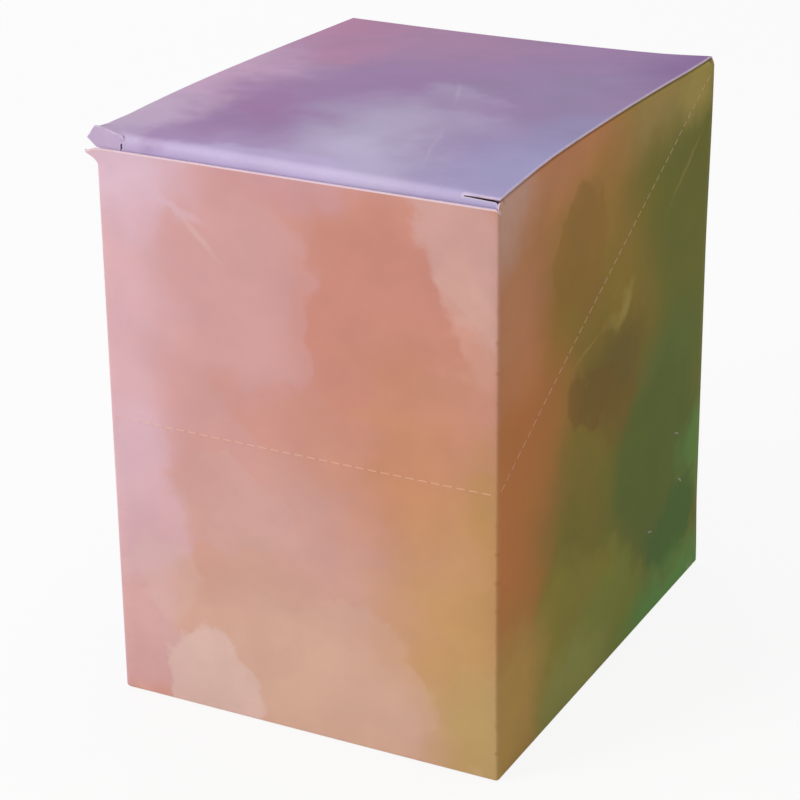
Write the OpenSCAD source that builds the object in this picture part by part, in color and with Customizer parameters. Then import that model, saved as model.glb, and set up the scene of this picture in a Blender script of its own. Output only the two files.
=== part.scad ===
// Tuck-top display carton, folded from one sheet of board.
// The origin is the middle of the base, +Z is up and the front panel faces -Y.
// The sheet is one piece, and its lid is a node of its own because it swings
// on the back crease.

/* [Carton] */
// Outside width across the front panel
carton_w = 110; // [96:1:140]
// Outside depth from the front panel to the back panel
carton_d = 136; // [120:1:170]
// Height of the front panel's cut top edge
panel_h = 153; // [135:1:180]
// Thickness of the board
board_t = 0.5; // [0.4:0.05:0.6]
// Outside radius of the upright folds
fold_r = 1.2; // [1:0.1:2]
// Width of the glue tab inside the back panel
glue_tab_w = 14; // [8:1:20]

/* [Lid] */
// How far the back crease lies below the front panel's edge
back_drop = 1; // [0:0.1:2]
// How far the lid's front crease stands above the front panel's edge
lid_lift = 3.7; // [3:0.1:5]
// Height of the lid's bow between its two creases
lid_bow = 1.3; // [0.6:0.1:2.5]
// How far each side edge of the lid stands in from the side panel
lid_side_gap = 0.3; // [0.1:0.1:1]
// Outside radius of the lid's soft front crease
front_crease_r = 2.2; // [1.6:0.1:2.6]
// Outside radius of the back crease
back_crease_r = 1.5; // [1.2:0.1:2]
// Gap along the back crease, where the lid parts from the back panel
hinge_gap = 0.1; // [0.05:0.01:0.15]

/* [Tuck flap] */
// How far the tuck flap reaches below the front panel's edge
tuck_l = 21; // [15:1:28]
// Radius of the tuck flap's lower corners
tuck_corner_r = 10; // [5:1:13]
// Clearance between the tuck flap and the front panel
tuck_gap = 0.25; // [0.15:0.05:0.5]
// Clearance between the tuck flap and each side panel
tuck_side_gap = 0.4; // [0.2:0.1:0.8]

/* [Slit locks] */
// Width of the slits at the ends of the front crease
slit_gap = 0.6; // [0.3:0.1:0.8]
// How far round the front crease's bend the slits lie, as a share of it
slit_share = 0.6; // [0.4:0.02:0.62]
// Length of the right slit, in from the right side panel
right_slit_l = 9.6; // [6:0.2:12]
// Length of the left slit, in from the left side panel
left_slit_l = 7; // [6:0.2:12]
// Length of the left slit's upright leg
slit_leg_l = 2.6; // [1.5:0.1:3]
// How far the bent ear reaches out past the left side panel
ear_reach = 2.5; // [1:0.1:4]
// How far the ear's upper corner stands above the front panel's edge
ear_rise = 5.4; // [4:0.1:7]

/* [Dust flaps] */
// Length of the dust flaps from their folds
dust_l = 38; // [25:1:45]
// Clearance between the dust flaps and the lid
dust_gap = 0.25; // [0.15:0.05:0.5]
// Outside radius of the dust flaps' soft folds
dust_fold_r = 1.5; // [1.2:0.1:2.5]
// How far the fold's back end stands in from the back panel
dust_back_set = 2; // [1.6:0.1:4]
// Length of the square shoulder at the flap's front end
dust_shoulder_l = 10; // [6:1:14]
// How far the front edge tapers back beyond the shoulder
dust_front_taper = 14; // [6:1:20]
// How far the back edge tapers
dust_back_taper = 9; // [4:1:16]
// Radius of the flaps' outer corners
flap_corner_r = 4; // [1:0.5:6]

/* [Tear line] */
// Height of the tear line on the front panel
tear_h = 80; // [50:1:100]
// How far below the front panel's edge it ends, on the side panels' back folds
tear_end_drop = 5; // [4:0.5:15]
// Bow of the slanting stretch on the side panels
tear_bow = 1.5; // [0:0.1:3]
// Length of one cut
cut_l = 2.45; // [1.5:0.05:3]
// Length of the tie between two cuts
tie_l = 1; // [0.8:0.05:2]
// Width of one cut
cut_w = 0.25; // [0.15:0.05:0.4]

/* [Base flaps] */
// Outside radius of the folds round the base
base_fold_r = 1; // [0.8:0.1:1.5]
// Gap between two layers of board in the base
layer_gap = 0.1; // [0.05:0.01:0.2]
// Run over which a flap rises from its fold by one layer
layer_run = 3; // [2:0.5:5]
// How far the front flap's shoulders reach past the middle of the base
front_flap_past = 6; // [4:1:10]
// How far the back flap's legs reach past the middle of the base
back_flap_past = 12; // [8:1:20]
// Width of the front flap's tongue at its root
tongue_w = 50; // [30:1:60]
// Length of the tongue's end, which lies over the back flap
tongue_end_l = 14; // [8:1:20]
// Run over which the tongue rises through the recess
tongue_run = 12; // [9:0.5:16]
// Clearance on each side of the tongue in the back flap's recess
recess_gap = 3; // [1:0.5:6]
// Length of the side flaps
side_flap_l = 42; // [30:1:46]
// How far the side edges of the front and back flaps stand in from the folds
flap_side_set = 1; // [0.5:0.5:3]
// How far the flaps taper on each side
flap_taper = 4; // [2:0.5:8]

/* [Bent corner] */
// How far the left panel's bent top corner flares out
flare_reach = 3.4; // [2:0.1:5]
// Height of the flared stretch
flare_h = 4.8; // [3.5:0.1:7]
// Radius in which the flared corner curls back
flare_r = 6; // [5.5:0.5:10]

/* [Hidden] */

half_w = carton_w / 2;
half_d = carton_d / 2;
// Facets of small circles, and of circles of more than a metre
fold_fn = 48;
arch_fn = 1440;
// Steps of the lid sheet's four bends, from its back crease to the tuck's end
crease_steps = 8;
arch_steps = 20;
tuck_steps = 8;

// The lid swings about the sharp corner that its back crease rounds off
hinge = [half_d, panel_h - back_drop];
tuck_r = carton_d - board_t - tuck_gap;
crease_top = [hinge[0] - tuck_r, panel_h + lid_lift];

// The lid's arch, a circle through both crease corners, in the YZ plane
chord = crease_top - hinge;
chord_l = norm(chord);
arch_r = (chord_l * chord_l / 4 + lid_bow * lid_bow) / (2 * lid_bow);
chord_up = [chord[1], -chord[0]] / chord_l;
arch_mid = (hinge + crease_top) / 2 - chord_up * (arch_r - lid_bow);

// Centres of the two creases, each touching the arch from within
front_crease_mid = circles_meet(arch_mid, arch_r - front_crease_r, hinge, tuck_r - front_crease_r);
back_crease_y = half_d - back_crease_r;
back_crease_mid = [back_crease_y,
    arch_mid[1] + leg_of(arch_r - back_crease_r, back_crease_y - arch_mid[0])];
arch_front_a = angle_to(arch_mid, front_crease_mid);
arch_back_a = angle_to(arch_mid, back_crease_mid);
tuck_top_a = angle_to(hinge, front_crease_mid);
tuck_end_a = 180 + asin((hinge[1] - panel_h + tuck_l) / tuck_r);
hinge_a = angle_to(back_crease_mid, hinge);
hinge_gap_a = hinge_gap / (2 * back_crease_r - board_t) * 180 / PI;

// Where the slits cut the front crease
slit_a = arch_front_a + slit_share * (tuck_top_a - arch_front_a);
slit_at = front_crease_mid + (front_crease_r - board_t / 2) * dir(slit_a);
lid_half_w = half_w - lid_side_gap;
tuck_half_w = half_w - board_t - tuck_side_gap;

// The dust flaps follow the arch just under the lid, from where it turns down
dust_r = arch_r - board_t - dust_gap;
wall_top_r = dust_r - dust_fold_r;
dust_front_y = front_crease_mid[0];
fold_leg = 3;

// Levels of the three layers that the tongue crosses
layer = board_t + layer_gap;
base_top = 3 * layer + board_t;
tongue_tip_y = front_flap_past + tongue_run + tongue_end_l;
recess_y = front_flap_past + tongue_run + layer_gap;

// Tear line on a side panel, as points [y, z]
slant_start = [-half_d + fold_r, tear_h];
slant_end = [half_d - fold_r, panel_h - tear_end_drop];
slant = slant_end - slant_start;
slant_l = norm(slant);
slant_up = [-slant[1], slant[0]] / slant_l;
pitch = cut_l + tie_l;

function dir(a) = [cos(a), sin(a)];
function angle_to(from, to) = atan2(to[1] - from[1], to[0] - from[0]);
function leg_of(slope, other) = sqrt(slope * slope - other * other);
// Where two circles meet, on the side of the line c1 to c2 that lies lower in Y
function circles_meet(c1, r1, c2, r2) =
    let (
        span = norm(c2 - c1),
        along = (r1 * r1 - r2 * r2 + span * span) / (2 * span),
        off = leg_of(r1, along),
        u = (c2 - c1) / span
    ) c1 + along * u + off * [-u[1], u[0]];
// Corner k of an outline rounded to radius r, as n + 1 points
function corner_arc(p, k, r, n = 6) =
    let (
        count = len(p),
        u = p[(k + count - 1) % count] - p[k],
        v = p[(k + 1) % count] - p[k],
        un = u / norm(u),
        vn = v / norm(v),
        half_a = acos(un * vn) / 2,
        mid = p[k] + (un + vn) / norm(un + vn) * r / sin(half_a),
        a0 = angle_to(mid, p[k] + un * r / tan(half_a)),
        a1 = angle_to(mid, p[k] + vn * r / tan(half_a)),
        turn = (a1 - a0 + 540) % 360 - 180
    ) [for (i = [0:n]) mid + r * dir(a0 + turn * i / n)];
// Outline of corners given as [x, y, radius], where a radius of 0 stays sharp
function rounded(p) =
    let (flat = [for (q = p) [q[0], q[1]]])
    [for (k = [0:len(p) - 1]) each (p[k][2] > 0 ? corner_arc(flat, k, p[k][2]) : [flat[k]])];

// Points along bends given as [mid, radius, from angle, to angle, steps], where
// each bend starts at the end of the one before, and inset moves them inwards
function bent_line(bends, inset) = [
    for (k = [0:len(bends) - 1], i = [(k == 0 ? 0 : 1):bends[k][4]])
        let (b = bends[k]) b[0] + (b[1] - inset) * dir(b[2] + (b[3] - b[2]) * i / b[4])];
// Outline of a sheet of board that follows such bends
function bent_sheet(bends) =
    let (inner = bent_line(bends, board_t))
    concat(bent_line(bends, 0), [for (i = [len(inner) - 1:-1:0]) inner[i]]);

// Sector of a ring of board, from angle a0 to angle a1, about mid
module bend(mid, r, a0, a1, fn = fold_fn) {
    reach = 2 * r;
    intersection() {
        difference() {
            translate(mid) circle(r, $fn = fn);
            translate(mid) circle(r - board_t, $fn = fn);
        }
        polygon([mid, mid + reach * dir(a0), mid + reach * dir((a0 + a1) / 2), mid + reach * dir(a1)]);
    }
}

// Extrudes a profile drawn in Y and Z along X
module along_x(x0, x1) {
    translate([x0, 0, 0]) rotate([90, 0, 90]) linear_extrude(x1 - x0) children();
}

// Extrudes a profile drawn in X and Z along Y
module along_y(y0, y1) {
    translate([0, y1, 0]) rotate([90, 0, 0]) linear_extrude(y1 - y0) children();
}

// Turns a profile drawn as [radius, x] about the arch's axis, between two places along Y
module along_arch(y0, y1, r) {
    a0 = asin((arch_mid[0] - y1) / r);
    a1 = asin((arch_mid[0] - y0) / r);
    translate([0, arch_mid[0], arch_mid[1]]) rotate([0, 90, 0]) rotate([0, 0, 180 + a0])
        rotate_extrude(angle = a1 - a0, $fn = arch_fn) children();
}

module rounded_rect(w, d, r) {
    square([w - 2 * r, d], center = true);
    square([w, d - 2 * r], center = true);
    for (sx = [-1, 1], sy = [-1, 1])
        translate([sx * (w / 2 - r), sy * (d / 2 - r)]) circle(r, $fn = fold_fn);
}

// The four panels from above. At the glued corner the back panel ends in a
// cut edge, and the left panel turns in behind it.
module panel_ring() {
    turn_mid = [-half_w + fold_r, half_d - board_t - fold_r];
    difference() {
        rounded_rect(carton_w, carton_d, fold_r);
        rounded_rect(carton_w - 2 * board_t, carton_d - 2 * board_t, fold_r - board_t);
        translate([-half_w - 1, turn_mid[1]]) square([fold_r + 1, fold_r + board_t + 1]);
    }
    translate([-half_w, half_d - board_t]) square([fold_r, board_t]);
    bend(turn_mid, fold_r, 90, 180);
}

// The glue tab, stuck to the inside of the back panel, with slanted ends. Its
// upper end runs past the wall, which cuts it off level with the panels.
module glue_tab() {
    x0 = -half_w + fold_r;
    x1 = x0 + glue_tab_w;
    along_y(half_d - 2 * board_t, half_d - board_t) polygon([
        [x0, base_fold_r],
        [x1, base_fold_r + glue_tab_w / 2],
        [x1, hinge[1] - glue_tab_w / 2],
        [x0, hinge[1]]]);
}

// The four panels, open above and below. The side panels end at the dust flaps'
// folds, which follow the lid's arch. The left one is cut back behind the ear.
module panels() {
    ear_clear = 2 * (board_t + tuck_gap);
    difference() {
        intersection() {
            union() {
                translate([0, 0, base_fold_r]) linear_extrude(panel_h + lid_lift) panel_ring();
                glue_tab();
            }
            translate([-carton_w, arch_mid[0], arch_mid[1]]) rotate([0, 90, 0])
                cylinder(r = wall_top_r, h = 2 * carton_w, $fn = arch_fn);
        }
        translate([-half_w - 1, -half_d - 1, panel_h])
            cube([carton_w + 2, fold_r + 1, lid_lift + base_fold_r + 1]);
        translate([-half_w - 1, -half_d - 1, panel_h])
            cube([half_w + 1, ear_clear + 1, lid_lift + base_fold_r + 1]);
    }
}

// The back panel's share of the back crease
module back_crease() {
    along_x(-half_w + fold_r, half_w - fold_r) {
        bend(back_crease_mid, back_crease_r, 0, hinge_a - hinge_gap_a);
        translate([half_d - board_t, back_crease_mid[1] - fold_leg]) square([board_t, fold_leg]);
    }
}

// A dust flap with its soft fold, folded in under the lid
module dust_flap() {
    root_x = half_w - dust_fold_r;
    tip_x = root_x - dust_l;
    back_y = half_d - dust_back_set;
    outline = [
        [half_w + 1, dust_front_y, 0],
        [root_x - dust_shoulder_l, dust_front_y + 0.5, 1],
        [root_x - dust_shoulder_l - 1, dust_front_y + 3, 1],
        [tip_x, dust_front_y + 3 + dust_front_taper, flap_corner_r],
        [tip_x, back_y - dust_back_taper, flap_corner_r],
        [root_x, back_y, 0],
        [half_w + 1, back_y, 0]];
    intersection() {
        along_arch(-half_d, half_d, dust_r) {
            bend([wall_top_r, root_x], dust_fold_r, 0, 90);
            translate([wall_top_r - fold_leg, half_w - board_t]) square([fold_leg, board_t]);
            translate([dust_r - board_t, tip_x - 1]) square([board_t, dust_l + 1]);
        }
        translate([0, 0, panel_h / 2]) linear_extrude(panel_h) polygon(rounded(outline));
    }
}

// Profile of a base flap: its fold at the foot of a wall, whose outer face is
// at 0, and then level runs and rises given as [distance from the wall, height]
module flap_profile(steps) {
    bend([base_fold_r, base_fold_r], base_fold_r, 180, 270);
    translate([0, base_fold_r]) square([board_t, fold_leg]);
    over = [for (k = [len(steps) - 1:-1:0]) steps[k] + [0, board_t]];
    polygon(concat([[base_fold_r, 0]], steps, over, [[base_fold_r, board_t]]));
}

// Flap on the front panel, the outer one, whose tongue locks the base
module front_base_flap() {
    root_y = half_d - base_fold_r;
    side_x = half_w - base_fold_r - layer_run - flap_side_set;
    outline = [
        [-side_x, -half_d - 1, 0],
        [side_x, -half_d - 1, 0],
        [side_x - flap_taper, front_flap_past - 14, 3],
        [tongue_w / 2 + 4, front_flap_past, 3],
        [tongue_w / 2, front_flap_past, 1],
        [tongue_w / 2 - 3, tongue_tip_y, 5],
        [-tongue_w / 2 + 3, tongue_tip_y, 5],
        [-tongue_w / 2, front_flap_past, 1],
        [-tongue_w / 2 - 4, front_flap_past, 3],
        [-side_x + flap_taper, front_flap_past - 14, 3]];
    steps = [
        [half_d + front_flap_past, 0],
        [half_d + front_flap_past + tongue_run, 3 * layer],
        [half_d + tongue_tip_y, 3 * layer]];
    intersection() {
        along_x(-half_w, half_w) translate([-half_d, 0]) flap_profile(steps);
        translate([0, 0, -1]) linear_extrude(base_top + fold_leg + 2) polygon(rounded(outline));
    }
}

// Flap on the back panel, the inner one, whose legs and recess hold the tongue
module back_base_flap() {
    side_x = half_w - board_t - flap_side_set;
    recess_x = tongue_w / 2 + recess_gap;
    leg_y = -back_flap_past;
    outline = [
        [side_x, half_d + 1, 0],
        [-side_x, half_d + 1, 0],
        [-side_x + flap_taper, leg_y, 5],
        [-recess_x - 4, leg_y, 3],
        [-recess_x, recess_y, 2],
        [recess_x, recess_y, 2],
        [recess_x + 4, leg_y, 3],
        [side_x - flap_taper, leg_y, 5]];
    steps = [
        [base_fold_r + 2 * layer_run, 2 * layer],
        [carton_d, 2 * layer]];
    intersection() {
        along_x(-half_w, half_w) translate([half_d, 0]) mirror([1, 0]) flap_profile(steps);
        translate([0, 0, -1]) linear_extrude(base_top + fold_leg + 2) polygon(rounded(outline));
    }
}

// Flap on a side panel, the middle layer, cut back where the tongue goes through
module side_base_flap() {
    tip_x = half_w - side_flap_l;
    clear_x = tongue_w / 2 + recess_gap + 1;
    outline = [
        [half_w + 1, -half_d + fold_r + base_fold_r, 0],
        [half_w + 1, half_d - base_fold_r - 2 * layer_run - flap_side_set, 0],
        [half_w - layer_run, half_d - base_fold_r - 2 * layer_run - flap_side_set, 0],
        [clear_x, tongue_tip_y + 10, flap_corner_r],
        [clear_x, front_flap_past - 6, 2],
        [tip_x, front_flap_past - 14, flap_corner_r],
        [tip_x, -half_d + side_flap_l / 2, flap_corner_r],
        [half_w - layer_run, -half_d + fold_r + base_fold_r + 1, 0]];
    steps = [
        [base_fold_r + layer_run, layer],
        [side_flap_l + 1, layer]];
    intersection() {
        along_y(-half_d, half_d) translate([half_w, 0]) mirror([1, 0]) flap_profile(steps);
        translate([0, 0, -1]) linear_extrude(base_top + fold_leg + 2) polygon(rounded(outline));
    }
}

// The left panel's top front corner, bent out and curled back
module flared_corner() {
    inset = 0.05;
    tip = [-half_w - flare_reach, panel_h - 0.35 * flare_h];
    root_x = -half_w + fold_r;
    foot = [-half_w, panel_h - flare_h];
    hollow_r = 0.8 * flare_h;
    hollow_mid = [tip[0], tip[1] - hollow_r];
    intersection() {
        translate([root_x, -half_d + flare_r, 0]) linear_extrude(panel_h + 1) difference() {
            circle(flare_r - inset, $fn = 2 * fold_fn);
            circle(flare_r - board_t + inset, $fn = 2 * fold_fn);
        }
        along_y(-half_d - 1, -half_d + flare_r) difference() {
            polygon([
                [root_x + 1, foot[1]],
                [root_x + 1, panel_h],
                [-half_w, panel_h],
                tip,
                [tip[0], foot[1]]]);
            translate(hollow_mid) circle(hollow_r, $fn = fold_fn);
        }
    }
}

// One cut of the tear line, at [across, z] on a panel and sloped by a
module cut(at, a) {
    translate(at) rotate(a) square([cut_l, cut_w], center = true);
}

// Cuts of the front panel, centred on its width
module front_cuts() {
    side_l = half_w - fold_r - tie_l;
    count = floor(side_l / pitch);
    along_y(-half_d - 1, -half_d + fold_r)
        for (k = [-count:count]) cut([k * pitch, tear_h], 0);
}

// Cuts of one side panel, slanting up from the front fold to the back one
module side_cuts() {
    count = floor((slant_l - tie_l) / pitch);
    along_x(half_w - fold_r, half_w + 1) for (k = [0:count - 1]) {
        share = (tie_l + cut_l / 2 + k * pitch) / slant_l;
        rise = 4 * tear_bow * share * (1 - share);
        lean = atan2(4 * tear_bow * (1 - 2 * share), slant_l);
        cut(slant_start + share * slant + rise * slant_up, angle_to([0, 0], slant) + lean);
    }
}

module carton() {
    color("#dcaea0") difference() {
        union() {
            panels();
            back_crease();
            front_base_flap();
            back_base_flap();
            for (side = [0, 1]) mirror([side, 0, 0]) {
                dust_flap();
                side_base_flap();
            }
            flared_corner();
        }
        front_cuts();
        for (side = [0, 1]) mirror([side, 0, 0]) side_cuts();
    }
}

// The tuck flap's bend, which swings clear because it is centred on the hinge
tuck_bend = [hinge, tuck_r, tuck_top_a, tuck_end_a, tuck_steps];

// The lid and tuck flap as one bent sheet, before its ends are cut
module lid_sheet() {
    along_x(-lid_half_w, lid_half_w) polygon(bent_sheet([
        [back_crease_mid, back_crease_r, hinge_a + hinge_gap_a, arch_back_a, crease_steps],
        [arch_mid, arch_r, arch_back_a, arch_front_a, arch_steps],
        [front_crease_mid, front_crease_r, arch_front_a, tuck_top_a, crease_steps],
        tuck_bend]));
}

// A slit along the front crease, between two places along X
module crease_slit(x0, x1) {
    along_x(x0, x1) translate(slit_at) rotate(slit_a)
        square([2 * board_t, slit_gap], center = true);
}

// What the tuck flap leaves free at one end, from the slit downwards
module tuck_end_cut() {
    low_z = panel_h - tuck_l - 2;
    translate([tuck_half_w, -half_d - 1, low_z])
        cube([half_w, tuck_r / 2, slit_at[1] - low_z]);
}

// What the tuck flap's two rounded lower corners leave
module tuck_corner_cut() {
    low_z = panel_h - tuck_l;
    mid = [tuck_half_w - tuck_corner_r, low_z + tuck_corner_r];
    along_y(-half_d - 1, -half_d + 2 * tuck_corner_r) difference() {
        translate([mid[0], low_z - 1]) square([tuck_corner_r + 1, tuck_corner_r + 1]);
        translate(mid) circle(tuck_corner_r, $fn = 2 * fold_fn);
    }
}

// The shoulder's end outside the left slit, bent up and out of the carton
module ear() {
    slit_x = -half_w + left_slit_l - slit_gap;
    ear_top_a = tuck_top_a - 4;
    foot_z = slit_at[1] - slit_leg_l - 1;
    outline = [
        [slit_x, foot_z],
        [slit_x, slit_at[1] - 0.2],
        [-half_w, panel_h + ear_rise],
        [-half_w - ear_reach, panel_h + 0.4 * ear_rise],
        [-half_w, panel_h + 0.3],
        [-tuck_half_w, panel_h + 0.1],
        [-tuck_half_w, foot_z]];
    intersection() {
        along_x(-half_w - ear_reach - 1, slit_x)
            polygon(bent_sheet([[hinge, tuck_r, ear_top_a, tuck_top_a, 2], tuck_bend]));
        along_y(-half_d - 1, -half_d + front_crease_r) polygon(outline);
    }
}

module lid() {
    left_slit_x = -half_w + left_slit_l;
    color("#b7a3d0") {
        difference() {
            lid_sheet();
            crease_slit(half_w - right_slit_l, half_w);
            crease_slit(-half_w, left_slit_x);
            for (side = [0, 1]) mirror([side, 0, 0]) {
                tuck_end_cut();
                tuck_corner_cut();
            }
            translate([-half_w, -half_d, slit_at[1] - slit_leg_l])
                cube([left_slit_l, board_t + tuck_gap + front_crease_r, slit_leg_l]);
        }
        ear();
    }
}

carton();
lid();
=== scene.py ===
"""A tuck-top display carton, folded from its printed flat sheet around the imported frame."""

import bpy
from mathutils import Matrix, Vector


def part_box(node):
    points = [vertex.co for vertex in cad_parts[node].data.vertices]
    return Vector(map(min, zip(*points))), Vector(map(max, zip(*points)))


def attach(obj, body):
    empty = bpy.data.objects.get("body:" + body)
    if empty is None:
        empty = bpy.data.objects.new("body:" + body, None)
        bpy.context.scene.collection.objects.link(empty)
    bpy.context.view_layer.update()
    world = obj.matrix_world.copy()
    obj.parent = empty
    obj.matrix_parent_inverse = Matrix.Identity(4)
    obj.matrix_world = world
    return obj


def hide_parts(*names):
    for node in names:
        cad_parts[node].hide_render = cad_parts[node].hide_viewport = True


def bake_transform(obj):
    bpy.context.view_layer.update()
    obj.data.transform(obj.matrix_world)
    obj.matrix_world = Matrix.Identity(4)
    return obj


bl_info = {
    "name": "Tuck-top display carton",
    "version": (1, 0, 0),
    "blender": (4, 5, 0),
    "location": "View3D > Sidebar > Carton",
    "description": "Folds a printed carton from its flat sheet and sets up its studio",
    "category": "Object",
}

import math

import bmesh
import bpy
import numpy as np
from bpy.props import FloatProperty, FloatVectorProperty, PointerProperty
from mathutils import Matrix, Vector
from mathutils.geometry import delaunay_2d_cdt

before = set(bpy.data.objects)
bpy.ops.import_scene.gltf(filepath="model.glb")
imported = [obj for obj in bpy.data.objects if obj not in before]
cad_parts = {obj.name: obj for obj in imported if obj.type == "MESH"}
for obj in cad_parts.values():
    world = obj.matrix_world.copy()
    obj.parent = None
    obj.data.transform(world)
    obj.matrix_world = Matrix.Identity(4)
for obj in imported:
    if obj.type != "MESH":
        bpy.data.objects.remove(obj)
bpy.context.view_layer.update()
CARTON_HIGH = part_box("carton")[1]

MM = 0.001
# A quarter turn
QUARTER = math.pi / 2
# Rows and columns of the mesh round each fold
FOLD_STEPS = 6
# Widest spacing of the mesh on a flat panel, and how near its edges a point may lie
PANEL_STEP = 8.0
EDGE_CLEAR = 0.12
# Edges where the faces turn by more than this stay sharp
SHARP_TURN = math.radians(28)
# Places of the finishes in each piece's list of materials
PRINTED, BARE, CUT = 0, 1, 2
# The upright folds, in the order in which the flat sheet passes them
FOLDS = ("turn", "front_left", "front_right", "back_right")
# Rows of the mesh up an upright fold, close enough that no long face crosses it, and up a panel
FOLD_ROWS, PANEL_ROWS = 91, 18
# Rows this far below the front panel's cut edge, at a panel's own columns and between them
EDGE_ROWS = (6.5, 4.8, 3.4, 2.2, 1.2, 0.45, 0.3)
RIM_ROWS = (0.3, 0.45, 1.2, 2)
# Spacing of the mesh round the flared corner, and of its columns along the rest of the cut edge
FINE_STEP, RIM_STEP = 0.45, 2
# Corners of an outline nearer than this to the one before are left out
NEAR = 0.02

# The flared corner: height of the bent part, height over which it bends, reach of the bend
# round the corner on the front and on the left panel, and how far its tip is bent out, forward
# and down
FLARE_H, FLARE_RUN = 5, 4.4
FLARE_ON_FRONT, FLARE_ON_SIDE = 3.0, 1.5
FLARE_OUT, FLARE_FORWARD, FLARE_DOWN = 3.5, 0.3, 1.2
# How far parts of the ring of panels stand out of their plain place, in X and Y
BACK_CORNER_OUT = np.array([0.45, 0.35, 0])
LEFT_CORNER_OUT = np.array([-0.35, -0.1, 0])
SIDE_FOOT_OUT = np.array([0.45, 0, 0])
FRONT_FOOT_OUT = np.array([0, -0.35, 0])
# Bow of the front and side panels, and how much the front's cut edge tilts from left to right
FRONT_BOW, SIDE_BOW, EDGE_TILT = 0.3, 0.35, 0.35

# The cuts of the tear line: how deep, and how much wider than cut_w on the front and sides
GROOVE = 0.08
FRONT_SPREAD, SIDE_SPREAD = 1.2, 1.7
# How far the print is paled, from 0, sound, to 1, down to the board: wear on folds, foot, back crease and
# slits, and painted highlight where marked
# The front panel's cut edge gets a painted highlight, its pale lit look painted onto the print; folds, foot
# and back crease are wear
EDGE_PAINTED_HIGHLIGHT, WORN_FOLD, WORN_FOOT, WORN_BACK_CREASE = 1.1, 0.04, 0.12, 0.12
# The tear line's cuts are paler partly by wear of the broken surface and partly by painted highlight on
# their raised rims
FRONT_CUT_WEAR_AND_HIGHLIGHT, SIDE_CUT_WEAR_AND_HIGHLIGHT = 0.34, 0.45
# The lid's front crease and right side rim are paler by painted highlight; the slit's top by wear
FRONT_CREASE_PAINTED_HIGHLIGHT, SIDE_RIM_PAINTED_HIGHLIGHT, WORN_SLIT_TOP = 0.3, 0.66, 0.62
WORN_SLIT_RIM, WORN_SLIT_END = 1.0, 0.7
# The ear's top rim is paler by painted highlight along its fold; its foot by wear
EAR_RIM_PAINTED_HIGHLIGHT, WORN_EAR_FOOT = 0.54, 0.2
# The front panel's cut edge gets its painted highlight down to this far below it
PALE_EDGE = 0.35


def colour_of(code):
    """A colour written as six hexadecimal digits, as the linear values that Blender takes."""
    values = [int(code[k:k + 2], 16) / 255 for k in (0, 2, 4)]
    return tuple(v / 12.92 if v <= 0.04045 else ((v + 0.055) / 1.055) ** 2.4 for v in values)


def length(name, default_mm, low_mm, high_mm, text):
    """A length property, written here in millimetres."""
    return FloatProperty(
        name=name, description=text, default=default_mm * MM, min=low_mm * MM, max=high_mm * MM,
        precision=5, unit="LENGTH")


def paint(name, code, text):
    """A colour property."""
    return FloatVectorProperty(
        name=name, description=text, subtype="COLOR", size=3, min=0, max=1, default=colour_of(code))


class CartonSizes(bpy.types.PropertyGroup):
    """Sizes of the folded sheet: the solids' own, but for tighter folds"""
    carton_w: length("Width", 2 * CARTON_HIGH.x / MM, 96, 140, "Outside width across the front panel")
    carton_d: length("Depth", 2 * CARTON_HIGH.y / MM, 120, 170, "Outside depth from front to back")
    panel_h: length("Panel height", 153, 135, 180, "Height of the front panel's cut top edge")
    board_t: length("Board", 0.5, 0.4, 0.6, "Thickness of the board")
    fold_r: length("Upright fold radius", 0.9, 0.8, 2, "Outside radius of the upright folds")
    glue_tab_w: length("Glue tab", 14, 8, 20, "Width of the glue tab inside the back panel")
    back_drop: length("Back drop", 1, 0, 2, "How far the back crease lies below the front edge")
    lid_lift: length("Lid lift", 3.7, 3, 5, "How far the front crease stands above the front edge")
    lid_bow: length("Lid bow", 1.3, 0.6, 2.5, "Height of the lid's bow between its creases")
    lid_side_gap: length("Lid side gap", 0.3, 0.1, 1, "Lid's side edge in from the side panel")
    front_crease_r: length("Front crease radius", 2.2, 1.6, 2.6, "Outside radius of the front crease")
    back_crease_r: length("Back crease radius", 1.5, 1.2, 2, "Outside radius of the back crease")
    tuck_l: length("Tuck length", 21, 15, 28, "Reach of the tuck flap below the front edge")
    tuck_corner_r: length("Tuck corner radius", 10, 5, 13, "Radius of the tuck flap's corners")
    tuck_gap: length("Tuck gap", 0.25, 0.15, 0.5, "Clearance from tuck flap to front panel")
    tuck_side_gap: length("Tuck side gap", 0.4, 0.2, 0.8, "Clearance from tuck flap to side panel")
    slit_gap: length("Slit width", 0.6, 0.3, 0.8, "Width of the slits that lock the lid")
    slit_share: FloatProperty(
        name="Slit place", description="How far round the front crease's bend the slits lie",
        default=0.6, min=0.4, max=0.62)
    right_slit_l: length("Right slit", 9.6, 6, 12, "Length of the right slit")
    left_slit_l: length("Left slit", 7, 6, 12, "Length of the left slit")
    slit_leg_l: length("Slit leg", 2.6, 1.5, 3, "Length of the left slit's upright leg")
    dust_l: length("Dust flap", 38, 25, 45, "Length of the dust flaps from their folds")
    dust_gap: length("Dust flap gap", 0.25, 0.15, 0.5, "Clearance from dust flaps to lid")
    dust_fold_r: length("Dust fold radius", 1.5, 1.2, 2.5, "Outside radius of the dust flaps' folds")
    tear_h: length("Tear line height", 80, 50, 100, "Height of the tear line on the front panel")
    tear_end_drop: length("Tear line end", 5, 4, 15, "Drop of its back ends from the front edge")
    tear_bow: length("Tear line bow", 1.5, 0, 3, "Bow of the tear line on the side panels")
    cut_l: length("Cut length", 2.45, 1.5, 3, "Length of one cut of the tear line")
    tie_l: length("Tie length", 1, 0.8, 2, "Length of the tie between two cuts")
    cut_w: length("Cut width", 0.3, 0.15, 0.5, "Width of the broken surface at a cut")
    base_fold_r: length("Base fold radius", 0.8, 0.7, 1.5, "Outside radius of the folds round the base")
    layer_gap: length("Layer gap", 0.1, 0.05, 0.2, "Gap between two layers of the base")


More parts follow.
